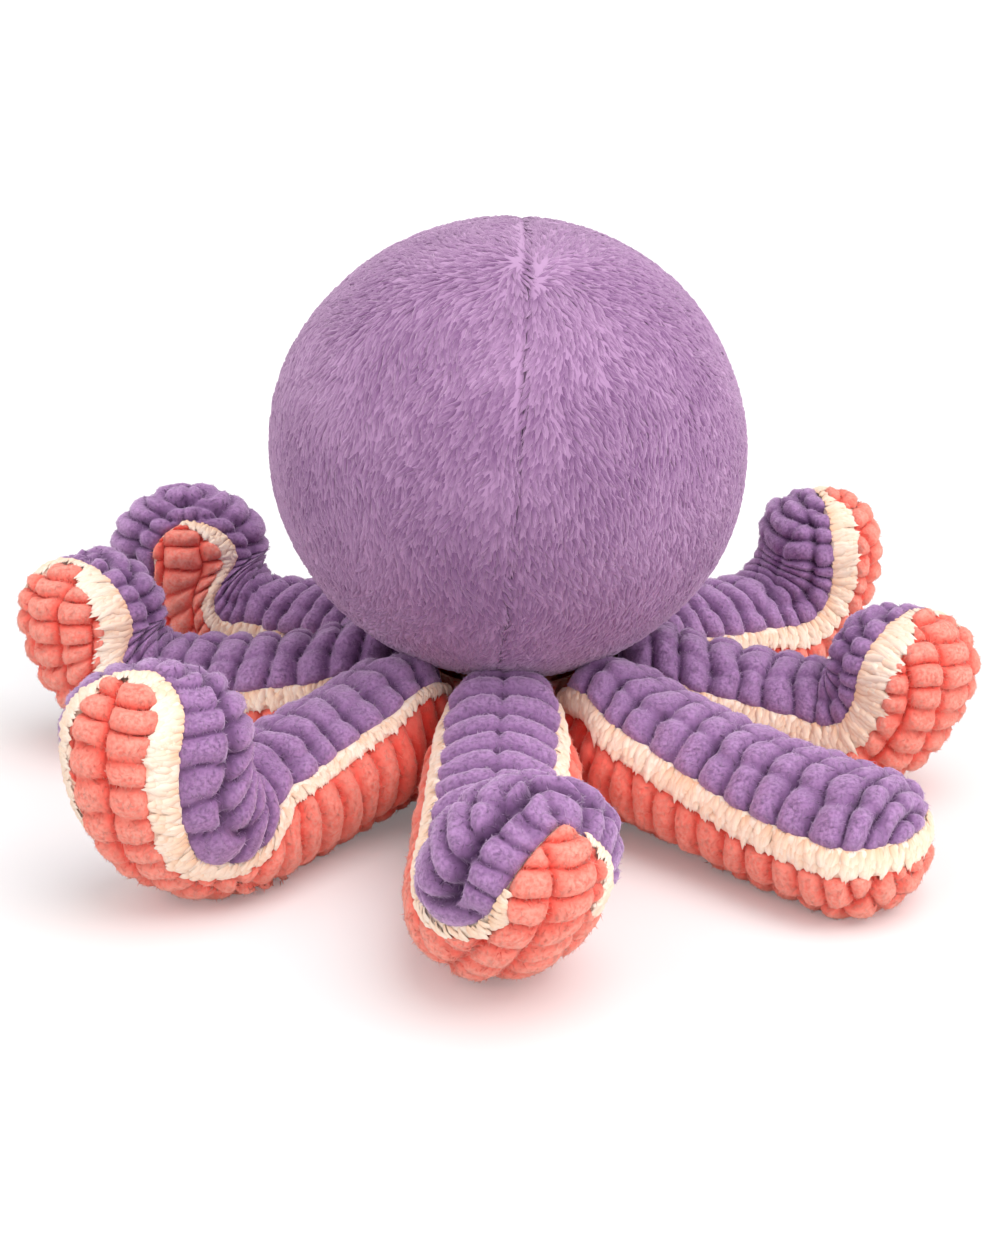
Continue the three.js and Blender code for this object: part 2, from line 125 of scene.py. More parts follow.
def spins(axis: Array, angles: Array) -> Array:
    """Rotation matrices about one axis.

    Each is the identity times cos a, plus the axis's cross matrix times sin a, plus the axis's outer product
    with itself times 1 - cos a.

    Args:
        axis: The unit vector to turn about.
        angles: How far each matrix turns, in radians.

    Returns:
        An array of 3 by 3 matrices, one for each angle.
    """
    x, y, z = axis
    cross = np.array([[0.0, -z, y], [z, 0.0, -x], [-y, x, 0.0]])
    a = np.atleast_1d(angles)[:, None, None]
    return np.eye(3) * np.cos(a) + cross * np.sin(a) + np.outer(axis, axis) * (1.0 - np.cos(a))


def spin(axis: Triple, degrees: float) -> Array:
    """One rotation matrix about an axis, by an angle in degrees."""
    return spins(np.array(axis), np.radians([degrees]))[0]


def linear(red: int, green: int, blue: int) -> Colour:
    """A colour given in screen values, as the linear value that a shader takes.

    Args:
        red: Its red, from 0 to 255.
        green: Its green.
        blue: Its blue.

    Returns:
        Linear red, green and blue, and an alpha of 1.
    """
    levels = np.array([red, green, blue]) / 255.0
    low, high = levels / 12.92, ((levels + 0.055) / 1.055) ** 2.4
    return (*np.where(levels <= 0.04045, low, high).tolist(), 1.0)


class Lumps:
    """Smooth random heights from -1 to 1 that fill space, from a seeded lattice of values."""

    SIDE = 32

    def __init__(self, seed: int) -> None:
        """Draws the lattice.

        Args:
            seed: Where the random draw starts.
        """
        self.values = np.random.default_rng(seed).uniform(-1.0, 1.0, (self.SIDE,) * 3)

    def at(self, points: Array, size: float) -> Array:
        """Heights at points: the eight lattice values round a point, blended by smooth steps along each axis.

        Args:
            points: Points in the last axis of the array.
            size: How far the lattice's values stand apart.

        Returns:
            One height for each point.
        """
        place = points / size
        cell = np.floor(place).astype(int)
        step = smooth(place - cell)
        total = np.zeros(points.shape[:-1])
        for corner in np.ndindex(2, 2, 2):
            share = np.prod(np.where(np.array(corner) == 1, step, 1.0 - step), axis=-1)
            x, y, z = np.moveaxis((cell + corner) % self.SIDE, -1, 0)
            total += share * self.values[x, y, z]
        return total


@dataclass
class Cloth:
    """A mesh in the making: corners, triangles and a value at each corner for every named mark.

    facing holds the normal by which each corner is shaded, or zeros where the mesh's own one stays.
    """

    points: Array
    triangles: Array
    marks: dict[str, Array] = field(default_factory=dict)
    facing: Array | None = None

    def __post_init__(self) -> None:
        """Leaves every corner its own normal if none is given."""
        if self.facing is None:
            self.facing = np.zeros_like(self.points)

    def joined(self, other: "Cloth") -> "Cloth":
        """This mesh and another in one, which have the same marks."""
        return Cloth(
            np.concatenate([self.points, other.points]),
            np.concatenate([self.triangles, other.triangles + len(self.points)]),
            {name: np.concatenate([values, other.marks[name]]) for name, values in self.marks.items()},
            np.concatenate([self.facing, other.facing]),
        )

    def welded(self) -> "Cloth":
        """The mesh with corners that fall together made one, without flat triangles, facing out.

        Returns:
            The new mesh, whose corners have its own normals.
        """
        key = np.round(self.points / WELD).astype(np.int64)
        _, first, place = np.unique(key, axis=0, return_index=True, return_inverse=True)
        corners = place.reshape(-1)[self.triangles]
        a, b, c = corners.T
        corners = corners[(a != b) & (b != c) & (c != a)]
        points = self.points[first]
        p, q, r = (points[corners[:, k]] - points.mean(0) for k in range(3))
        if dot(p, np.cross(q, r)).sum() < 0.0:
            corners = corners[:, ::-1]
        return Cloth(points, corners, {name: values[first] for name, values in self.marks.items()})


def sheet(index: Array) -> Array:
    """The two triangles of each square between neighbours in a grid of corner numbers."""
    a, b, c, d = index[:-1, :-1], index[1:, :-1], index[1:, 1:], index[:-1, 1:]
    return np.stack([np.stack([a, b, c], -1), np.stack([a, c, d], -1)]).reshape(-1, 3)


def wrapped(grid: Array, **marks: Array) -> Cloth:
    """The closed mesh of a grid of points whose edges meet, with marks that have a value at each point."""
    index = np.arange(grid.shape[0] * grid.shape[1]).reshape(grid.shape[:2])
    return Cloth(grid.reshape(-1, 3), sheet(index), {name: v.reshape(-1) for name, v in marks.items()}).welded()


def strip(first: Array, second: Array) -> Array:
    """Triangles between two rows of corner numbers, the first row the longer one.

    Each edge of the first row goes with its nearest corner in the second, and each edge of the second row goes
    with the corner of the first at which the nearest corner changes.

    Args:
        first: The longer row.
        second: The shorter row.

    Returns:
        The triangles' corner numbers.
    """
    near = np.rint(np.arange(len(first)) * (len(second) - 1) / (len(first) - 1)).astype(int)
    change = np.searchsorted(near, np.arange(1, len(second)))
    ones = np.stack([first[:-1], first[1:], second[near[:-1]]], -1)
    twos = np.stack([first[change], second[1:], second[:-1]], -1)
    return np.concatenate([ones, twos])


def panel(outer: Array, inner: Array, open_low: bool, open_high: bool, marks: dict[str, Array]) -> Cloth:
    """A closed piece of cloth between an outer grid and an inner one with as many rows and fewer columns.

    Args:
        outer: The outer grid's points, rows by columns.
        inner: The inner grid's points.
        open_low: Whether the first columns are an edge, to be joined by a rim.
        open_high: Whether the last columns are an edge.
        marks: Values on the outer grid. On the inner grid they are zero.

    Returns:
        The closed mesh.
    """
    rows, columns = outer.shape[:2]
    top = np.arange(rows * columns).reshape(rows, columns)
    under = rows * columns + np.arange(rows * inner.shape[1]).reshape(rows, -1)
    parts = [sheet(top), sheet(under)[:, ::-1], strip(top[0], under[0]), strip(top[-1], under[-1])[:, ::-1]]
    if open_low:
        parts.append(strip(top[:, 0], under[:, 0])[:, ::-1])
    if open_high:
        parts.append(strip(top[:, -1], under[:, -1]))
    values = {name: np.concatenate([v.reshape(-1), np.zeros(under.size)]) for name, v in marks.items()}
    points = np.concatenate([outer.reshape(-1, 3), inner.reshape(-1, 3)])
    return Cloth(points, np.concatenate(parts), values).welded()


@dataclass(frozen=True)
class Locks:
    """Many small locks of pile, each a flattened tapering rod that is closed at both ends.

    A rod has sides round it and rings along it, and flatness is its thickness over its width.
    """

    rings: int
    flatness: float
    round_share: float
    sides: int = 3
    fullest: float = 0.35
    bluntness: float = 3.0
    droop: Array | float = 0.0

    def grow(self, roots: Array, out: Array, comb: Array, length: Array, width: Array, rise: Array,
             sway: Array, tint: Array) -> Cloth:
        """Grows one lock at each root.

        A lock's middle line goes from its root along comb by length times t, out by rise times the sine of pi
        times 0.92 t to the 0.7, less droop times the square of length times t, and sideways by sway times t
        squared. Its half width is half of width times a hump: the sine to the 0.8 of an angle that starts nearer
        to a right angle as fullest grows, times 1 less t to the bluntness, so that it ends in a point. A lock is
        shaded mostly as the skin under it is, like a soft coat, and by round_share as a rod.

        Args:
            roots: Where the locks start.
            out: Unit vectors out of the skin.
            comb: Unit vectors along the skin in which the locks lie.
            length: The locks' lengths.
            width: Their widths.
            rise: How far their middles stand over the skin.
            sway: How far their tips lie to one side.
            tint: A value from -1 to 1 for each lock's colour.

        Returns:
            All locks in one mesh, with the marks tip, tint, across and drift.
        """
        count = len(roots)
        side = np.cross(out, comb)
        t = np.linspace(0.0, 1.0, self.rings + 1)[:-1]
        hump = np.sin(np.pi * (0.5 * (t + self.fullest) / (1.0 + self.fullest) + 0.25 * t)) ** 0.8
        hump = hump * (1.0 - t**self.bluntness)
        turn = 2.0 * np.pi * np.arange(self.sides) / self.sides + 0.5 * np.pi
        ends = np.append(t, 1.0)
        lift = np.sin(np.pi * ends**0.7 * 0.92)
        drift = length[:, None] * ends
        line = (roots[:, None] + comb[:, None] * drift[..., None]
                + out[:, None] * (rise[:, None] * lift - self.droop * drift**2)[..., None]
                + side[:, None] * (sway[:, None] * ends**2)[..., None])
        half = (0.5 * width[:, None] * hump)[:, :, None, None]
        ring = (side[:, None, None] * np.cos(turn)[None, None, :, None]
                + out[:, None, None] * (self.flatness * np.sin(turn))[None, None, :, None])
        body = line[:, :-1, None] + half * ring
        points = np.concatenate([body.reshape(count, -1, 3), line[:, -1:]], axis=1)
        tip = np.tile(np.append(np.repeat(t, self.sides), 1.0), (count, 1))
        across = np.tile(np.append(np.tile(np.arange(self.sides) / self.sides, self.rings), 0.5), (count, 1))
        marks = {
            "tip": tip.reshape(-1),
            "tint": np.repeat(tint, points.shape[1]),
            "across": across.reshape(-1),
            "drift": (tip * length[:, None]).reshape(-1),
        }
        rod = np.concatenate([np.broadcast_to(ring, body.shape).reshape(count, -1, 3), comb[:, None]], axis=1)
        facing = unit(out[:, None] + self.round_share * rod)
        return Cloth(points.reshape(-1, 3), self._triangles(count, points.shape[1]), marks, facing.reshape(-1, 3))

    def _triangles(self, count: int, corners: int) -> Array:
        """The triangles of the locks' sides, points and ends.

        Args:
            count: How many locks there are.
            corners: How many corners each has.

        Returns:
            The triangles' corner numbers.
        """
        number = np.arange(self.rings * self.sides).reshape(self.rings, self.sides)
        round_it = np.concatenate([number, number[:, :1]], axis=1)
        around, last = sheet(round_it)[:, ::-1], round_it[-1]
        point = np.stack([last[:-1], last[1:], np.full(self.sides, corners - 1)], -1)
        fan = np.arange(1, self.sides - 1)
        foot = np.stack([np.zeros_like(fan), fan + 1, fan], -1)
        one = np.concatenate([around, point, foot])
        return (one[None] + corners * np.arange(count)[:, None, None]).reshape(-1, 3)


class Graph:
    """A tree of shader nodes, put together by short calls."""

    def __init__(self, tree: bpy.types.NodeTree) -> None:
        """Takes up a tree.

        Args:
            tree: The nodes of a material or of the surround.
        """
        self.tree = tree

    def add(self, kind: str, **settings: object) -> Node:
        """A new node of the tree.

        Args:
            kind: Blender's name for its type.
            settings: Its properties.

        Returns:
            The node.
        """
        node = self.tree.nodes.new(kind)
        for name, value in settings.items():
            setattr(node, name, value)
        return node

    def join(self, source: Socket, target: Socket) -> None:
        """Links one socket to another."""
        self.tree.links.new(source, target)

    def put(self, target: Socket, value: object) -> None:
        """Links a socket, or sets it if the value is a plain one."""
        if isinstance(value, bpy.types.NodeSocket):
            self.join(value, target)
        else:
            target.default_value = value

    def sum(self, operation: str, first: object, second: object) -> Socket:
        """A sum of two values.

        Args:
            operation: The Math node's name for the sum.
            first: The first value or socket.
            second: The second one.

        Returns:
            The result's socket.
        """
        node = self.add("ShaderNodeMath", operation=operation)
        self.put(node.inputs[0], first)
        self.put(node.inputs[1], second)
        return node.outputs[0]

    def spread(self, value: Socket, low: float, high: float, start: float = 0.0, end: float = 1.0) -> Socket:
        """A value taken in even steps from one range to another, and kept within it.

        Args:
            value: The value's socket.
            low: Where the value starts.
            high: Where it ends.
            start: What low becomes.
            end: What high becomes.

        Returns:
            The result's socket.
        """
        node = self.add("ShaderNodeMapRange")
        self.put(node.inputs["Value"], value)
        limits = {"From Min": low, "From Max": high, "To Min": start, "To Max": end}
        for name, limit in limits.items():
            node.inputs[name].default_value = limit
        return node.outputs[0]


class Coat(Graph):
    """The nodes of one material of a piece, round a shader of Blender's Principled kind."""

    COLOUR_INPUTS, COLOUR_OUTPUT = (6, 7), 2
    SOFT_RADIUS = (1.0, 0.8, 0.9)
    SOFT_DEPTH = 2.0
    SHINE = 0.2

    def __init__(self, name: str) -> None:
        """Makes an empty material with a shader and an output.

        Args:
            name: The material's name.
        """
        self.material = bpy.data.materials.new(name)
        self.material.use_nodes = True
        super().__init__(self.material.node_tree)
        self.tree.nodes.clear()
        self.shader = self.add("ShaderNodeBsdfPrincipled")
        output = self.add("ShaderNodeOutputMaterial")
        self.join(self.shader.outputs[0], output.inputs["Surface"])
        self.coordinates = self.add("ShaderNodeTexCoord").outputs["Object"]

    def mark(self, name: str) -> Socket:
        """The piece's own value of that name."""
        return self.add("ShaderNodeAttribute", attribute_name=name).outputs["Fac"]

    def noise(self, size: float, detail: float, vector: Socket | None = None) -> Socket:
        """Cloudy values about 0.5.

        Args:
            size: The patches' size in millimetres.
            detail: How many finer layers are added.
            vector: Coordinates to use in place of the piece's own.

        Returns:
            The values' socket.
        """
        node = self.add("ShaderNodeTexNoise")
        self.put(node.inputs["Vector"], vector or self.coordinates)
        node.inputs["Scale"].default_value = 1.0 / (size * MILLIMETRE)
        node.inputs["Detail"].default_value = detail
        return node.outputs[0]

    def blend(self, share: Socket, first: object, second: object) -> Socket:
        """Two colours blended.

        Args:
            share: The share of the second colour.
            first: The first colour or socket.
            second: The second one.

        Returns:
            The blend's socket.
        """
        node = self.add("ShaderNodeMix", data_type="RGBA")
        self.put(node.inputs["Factor"], share)
        for number, colour in zip(self.COLOUR_INPUTS, (first, second)):
            self.put(node.inputs[number], colour)
        return node.outputs[self.COLOUR_OUTPUT]

    def bump(self, height: Socket, depth: float, strength: float) -> Socket:
        """A normal bumped by a height.

        Args:
            height: The height's socket, from 0 to 1.
            depth: What a height of 1 stands for, in millimetres.
            strength: The share of the bump that is used.

        Returns:
            The normal's socket.
        """
        node = self.add("ShaderNodeBump")
        self.join(height, node.inputs["Height"])
        node.inputs["Distance"].default_value = depth * MILLIMETRE
        node.inputs["Strength"].default_value = strength
        return node.outputs[0]

    def dress(self, inputs: dict[str, object]) -> None:
        """Links or sets the shader's inputs of these names."""
        for name, value in inputs.items():
            self.put(self.shader.inputs[name], value)

    def sheen(self, weight: float, roughness: float, tint: Colour, soft: float) -> None:
        """Gives the shader the soft glow of standing fibres, and lets some light in under the surface."""
        self.dress({"Sheen Weight": weight, "Sheen Roughness": roughness, "Sheen Tint": tint,
                    "Subsurface Weight": soft, "Subsurface Radius": self.SOFT_RADIUS,
                    "Subsurface Scale": self.SOFT_DEPTH * MILLIMETRE, "Specular IOR Level": self.SHINE})


@dataclass(frozen=True)
class Chenille:
    """Ribbed chenille plush: a deep colour in the valleys as painted shade, a paler one on the ribs as a painted
    highlight, a velvety grain, and pale sheen on the ribs' edges.
    """

    name: str
    deep: Colour
    middle: Colour
    crest: Colour
    glow: Colour
    patch_size: float = 9.0
    grain_size: float = 1.1
    soft: float = 0.35

    def material(self) -> bpy.types.Material:
        """The finish as a material that reads the mark height, 0 in a valley and 1 on a rib.

        Returns:
            The material.
        """
        c = Coat(self.name)
        height = c.mark("height")
        patches, grain = c.noise(self.patch_size, 3.0), c.noise(self.grain_size, 4.0)
        # Painted shade and highlight: the height mark takes the colour from deep in the valleys to crest on the ribs.
        ground = c.blend(c.spread(height, 0.0, 0.6), self.deep, self.middle)
        lit = c.sum("MULTIPLY", c.spread(height, 0.5, 1.0), c.spread(grain, 0.38, 0.62, 0.3, 1.0))
        colour = c.blend(lit, ground, self.crest)
        colour = c.blend(c.spread(patches, 0.45, 0.75, 0.0, 0.35), colour, self.crest)
        colour = c.blend(c.spread(grain, 0.46, 0.3, 0.0, 0.15), colour, self.deep)
        c.dress({"Base Color": colour, "Roughness": c.spread(patches, 0.3, 0.7, 0.82, 1.0),
                 "Normal": c.bump(grain, 0.4, 0.6)})
        c.sheen(1.0, 0.45, self.glow, self.soft)
        return c.material


@dataclass(frozen=True)
class Pile:
    """Combed pile: dark at its roots as painted shade and light at its tips as a painted highlight, lighter and
    darker in cloudy patches as painted light and shade, no two locks quite alike, with fine strands.

    strand_pace is how far the strands' cloudy pattern moves across a lock, for each millimetre along it and from
    one lock to another.
    """

    name: str
    root: Colour
    middle: Colour
    tip: Colour
    glow: Colour
    sheen: float
    patch_size: float
    depth: float
    strand_pace: Triple = (6.0, 0.25, 40.0)

    def material(self) -> bpy.types.Material:
        """The finish as a material that reads the marks of Locks.

        Returns:
            The material.
        """
        c = Coat(self.name)
        strand, patches = c.noise(1.0, 2.0, self._strands(c)), c.noise(self.patch_size, 3.0)
        along, tint = c.mark("tip"), c.mark("tint")
        # The tip mark paints shade at the locks' roots and a highlight at their tips; the cloudy patches paint light
        # and shade.
        colour = c.blend(c.spread(along, 0.0, 0.4), self.root, self.middle)
        for share, shade in ((c.spread(along, 0.4, 1.0), self.tip), (c.spread(tint, -1.0, 0.2, 0.35, 0.0), self.root),
                             (c.spread(tint, 0.0, 1.0, 0.0, 0.4), self.tip),
                             (c.spread(strand, 0.55, 0.3, 0.0, 0.4), self.root),
                             (c.spread(patches, 0.5, 0.7, 0.0, 0.35), self.tip),
                             (c.spread(patches, 0.5, 0.3, 0.0, 0.25), self.root)):
            colour = c.blend(share, colour, shade)
        c.dress({"Base Color": colour, "Roughness": c.spread(strand, 0.3, 0.7, 0.7, 0.95),
                 "Normal": c.bump(strand, self.depth, 0.7)})
        c.sheen(self.sheen, 0.5, self.glow, 0.0)
        return c.material

    def _strands(self, c: Coat) -> Socket:
        """Coordinates in which a cloudy pattern becomes strands along the locks.

        Args:
            c: The material's nodes.

        Returns:
            The coordinates' socket.
        """
        node = c.add("ShaderNodeCombineXYZ")
        for target, mark, pace in zip(node.inputs, ("across", "drift", "tint"), self.strand_pace):
            c.join(c.sum("MULTIPLY", c.mark(mark), pace * MILLIMETRE), target)
        return node.outputs[0]


@dataclass(frozen=True)
class Plain:
    """A plain finish of cloth, fibre or plastic: two shades in a cloudy pattern with a fine bump."""

    name: str
    dark: Colour
    light: Colour
    patch: float
    grain: float
    depth: float
    roughness: Pair

    def material(self) -> bpy.types.Material:
        """The finish as a material.

        Returns:
            The material.
        """
        c = Coat(self.name)
        patches, grain = c.noise(self.patch, 3.0), c.noise(self.grain, 3.0)
        c.dress({"Base Color": c.blend(c.spread(patches, 0.3, 0.7), self.dark, self.light),
                 "Roughness": c.spread(grain, 0.3, 0.7, *self.roughness), "Normal": c.bump(grain, self.depth, 0.6)})
        return c.material


@dataclass(frozen=True)
class GlossyDome:
    """Polished moulded plastic, nearly black, with a faint brown cloud and hairline marks."""

    name: str = "eye_plastic"
    dark: Colour = linear(18, 14, 14)
    light: Colour = linear(46, 34, 30)
    coat: Pair = (0.6, 0.04)

    def material(self) -> bpy.types.Material:
        """The finish as a material.

        Returns:
            The material.
        """
        c = Coat(self.name)
        clouds, marks = c.noise(4.0, 2.0), c.noise(0.5, 4.0)
        weight, roughness = self.coat
        c.dress({"Base Color": c.blend(c.spread(clouds, 0.35, 0.7), self.dark, self.light),
                 "Roughness": c.spread(marks, 0.4, 0.7, 0.05, 0.16), "Normal": c.bump(marks, 0.01, 0.3),
                 "Coat Weight": weight, "Coat Roughness": roughness})
        return c.material


class Finish(Enum):
    """The finishes of the octopus, by the record's slot."""

    # Painted light in these colours: each pile's root colour is painted shade and its tip colour a painted highlight;
    # each chenille's deep colour is painted shade and its crest colour a painted highlight.
    MANTLE = Pile("mantle_plush", linear(114, 70, 120), linear(156, 116, 158), linear(196, 156, 196),
                  linear(246, 214, 244), sheen=1.0, patch_size=38.0, depth=0.5)
    ARM = Chenille("arm_plush", linear(72, 42, 80), linear(131, 92, 138), linear(180, 138, 186),
                   linear(236, 208, 240))
    SOLE = Chenille("sole_plush", linear(236, 62, 50), linear(255, 117, 101), linear(255, 164, 148),
                    linear(255, 184, 166))
    TRIM = Pile("trim_plush", linear(248, 198, 162), linear(255, 228, 204), linear(255, 243, 230),
                linear(255, 238, 222), sheen=0.5, patch_size=12.0, depth=0.15)
    FILLING = Plain("fibre_filling", linear(226, 223, 216), linear(248, 247, 243), 12.0, 1.2, 0.6, (0.8, 1.0))
    BAG = Plain("bag_cloth", linear(214, 110, 96), linear(230, 140, 124), 6.0, 0.7, 0.3, (0.75, 0.95))
    EYE = GlossyDome()
    WASHER = Plain("washer_plastic", linear(222, 222, 218), linear(236, 236, 232), 5.0, 0.4, 0.03, (0.4, 0.6))


class Workshop:
    """Turns meshes in the making into finished pieces on the frame."""

    def __init__(self) -> None:
        """Mixes every finish once."""
        self.materials = {finish: finish.value.material() for finish in Finish}

    def piece(self, name: str, cloth: Cloth, finish: Finish, nodes: tuple[str, ...]) -> Piece:
        """Makes a piece at the origin, in metres, that stands for CAD nodes.

        Args:
            name: The piece's name.
            cloth: Its mesh, in millimetres.
            finish: Its finish.
            nodes: The CAD nodes that it stands for.

        Returns:
            The piece, which still has to ride on a body.
        """
        mesh = bpy.data.meshes.new(name)
        count, faces = len(cloth.points), len(cloth.triangles)
        mesh.vertices.add(count)
        mesh.vertices.foreach_set("co", (cloth.points * MILLIMETRE).astype(np.float32).ravel())
        mesh.loops.add(3 * faces)
        mesh.loops.foreach_set("vertex_index", cloth.triangles.astype(np.int32).ravel())
        mesh.polygons.add(faces)
        mesh.polygons.foreach_set("loop_start", np.arange(0, 3 * faces, 3, dtype=np.int32))
        for mark, values in cloth.marks.items():
            mesh.attributes.new(mark, "FLOAT", "POINT").data.foreach_set("value", values.astype(np.float32))
        mesh.update(calc_edges=True)
        mesh.shade_smooth()
        if cloth.facing.any():
            mesh.normals_split_custom_set_from_vertices(cloth.facing)
        made = bpy.data.objects.new(name, mesh)
        bpy.context.scene.collection.objects.link(made)
        mesh.materials.append(self.materials[finish])
        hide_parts(*nodes)
        log.info("%-26s %7d corners %7d triangles", name, count, faces)
        return made


@dataclass(frozen=True)
class Bend:
    """One run of an arm: its share of the length, and the degrees that it bends up and to the left."""

    share: float
    up: float
    left: float


@dataclass(frozen=True)
class Lie:
    """How one arm lies: the degrees of its seams' twist and its toe's roll, its length and its bends.

    seam is the level of the top's edge on the straight part and on the toe, and band the trim's width in degrees
    on both, which change over the shares of the length in seam_span. slip is how far the toe's seams sink on the
    arm's left side and on its right. pinch is where round the toe the trim narrows, over how many degrees, and by
    what share. cloth_roll is the toe's roll as its cloth shows it. side_crease is the depth of the creases along
    the top's sides, as a share of the ribs' height, and rim the width of the roll of cloth along the toe's seam
    and the depth of the crease behind it.
    """

    name: str
    twist: float
    roll: float
    length_share: float
    bends: tuple[Bend, Bend, Bend]
    seam: Pair = (21.0, 4.0)
    band: Pair = (14.0, 17.0)
    seam_span: Pair = (0.5, 0.8)
    slip: Pair = (0.0, 0.0)
    pinch: Triple = (0.0, 22.0, 0.8)
    cloth_roll: float | None = None
    side_crease: float = 0.22
    rim: Pair = (8.5, 0.55)


@dataclass(frozen=True)
class Line:
    """An arm's middle line: places along it, points, and the directions along, right and up at each."""

    place: Array
    point: Array
    along: Array
    right: Array
    up: Array

    def at(self, place: Array) -> "Line":
        """The line at other places.

        Args:
            place: Distances along the line.

        Returns:
            The line there, each number taken in even steps between its neighbours.
        """
        def between(values: Array) -> Array:
            """The values at the new places."""
            return np.stack([np.interp(place, self.place, column) for column in values.T], -1)

        return Line(place, between(self.point), unit(between(self.along)), unit(between(self.right)),
                    unit(between(self.up)))


@dataclass(frozen=True)
class Loop:
    """The rows of an arm's surface: up its left side, round the toe and back down its right side.

    turn is the degrees round the toe, -90 all along the left side and 90 along the right.
    """

    place: Array
    turn: Array

    @property
    def half(self) -> int:
        """The number of the row at the toe's end, where the left half meets the right one."""
        return len(self.place) // 2


@dataclass(frozen=True)
class ArmSizes:
    """The sizes that all arms share. They are those of the frame's arms."""

    joint_radius: float = 50.0
    joint_height: float = 27.0
    root_half_height: float = 23.0
    root_half_width: float = 50.0 * math.tan(math.pi / 8.0) - 3.7
    body_half: Pair = (24.0, 22.0)
    toe_half: Pair = (27.0, 21.0)
    toe_reach: float = 20.0
    length: float = 116.0
    first_azimuth: float = -92.0
    count: int = 8
    swell_share: float = 0.16
    flare_share: float = 0.5
    twist_end_share: float = 0.75
    roll_start_share: float = 0.45
    setback: float = 12.0
    press: float = 0.5
    steps: int = 24
    pitch_limit: float = 25.0
    pitch_trials: int = 24
    cloth: float = 3.0
    cell: float = 1.0


@dataclass(frozen=True)
class Ribs:
    """The ribbed cloth of an arm: how far apart its ribs are, and how far they stand out and sink in."""

    pitch: float
    crest: float
    valley: float
    roundness: float


@dataclass(frozen=True)
class Nap:
    """The short fibres on a panel: how many stand on a square millimetre, their sizes and how they lie.

    sizes and rises are the ranges of their random size and of how far their middles stand out, hang is how much
    more often they point down, and paler is what their tips add to the height mark, as a painted highlight.
    """

    density: float = 0.5
    length: float = 2.2
    width: float = 1.0
    depth: float = 0.15
    sizes: Pair = (0.6, 1.3)
    rises: Pair = (0.6, 2.6)
    hang: float = 0.6
    paler: float = 0.4


@dataclass(frozen=True)
class Tufts:
    """The tufts of the trim, in rows from near the upper seam down, with a gap along the arm between them.

    start is how many degrees above the upper seam the first row stands, span the share of the trim over which
    the rows are spread, and scatter how far they stray in rows of the surface and in degrees. Tufts are width
    wide and hang past the lower seam by lap, but are narrower where they reach less far than full_reach, and
    there are none where the trim is narrower than least_band. They follow the skin's curve, as it is over the
    share curve_span of the trim below them, by the share curve_kept and up to bow. lean is the mean and the
    spread of the degrees by which they lean towards the toe, cloud how much more they lean in clouds, and gather
    how strongly the tufts of one clump lean together. Their length is a share of their reach, full_length in the
    first row and less by length_fall in the last, times clump_length in a clump's middle, less by clump_fall for
    each clump's width from it. clump_waver is the share of a clump by which clumps stray, and in what size of
    clouds.
    """

    rows: int = 4
    gap: float = 1.5
    start: float = 1.5
    span: float = 0.66
    scatter: float = 1.2
    width: float = 3.1
    lap: float = 2.6
    full_reach: float = 9.0
    least_band: float = 1.1
    bow: float = 0.08
    curve_span: float = 0.8
    curve_kept: float = 0.75
    full_length: float = 0.85
    length_fall: float = 0.4
    clump_length: float = 1.15
    clump_fall: float = 0.6
    clump_waver: Pair = (0.6, 12.0)
    least_width: float = 0.5
    depth: float = 0.1
    lean: Pair = (3.0, 5.0)
    cloud: float = 14.0
    cloud_size: float = 14.0
    gather: float = 34.0
    sizes: Pair = (0.85, 1.15)
    rises: Pair = (0.4, 1.1)
    sways: Pair = (-0.6, 0.6)
    tints: Pair = (-0.5, 0.9)


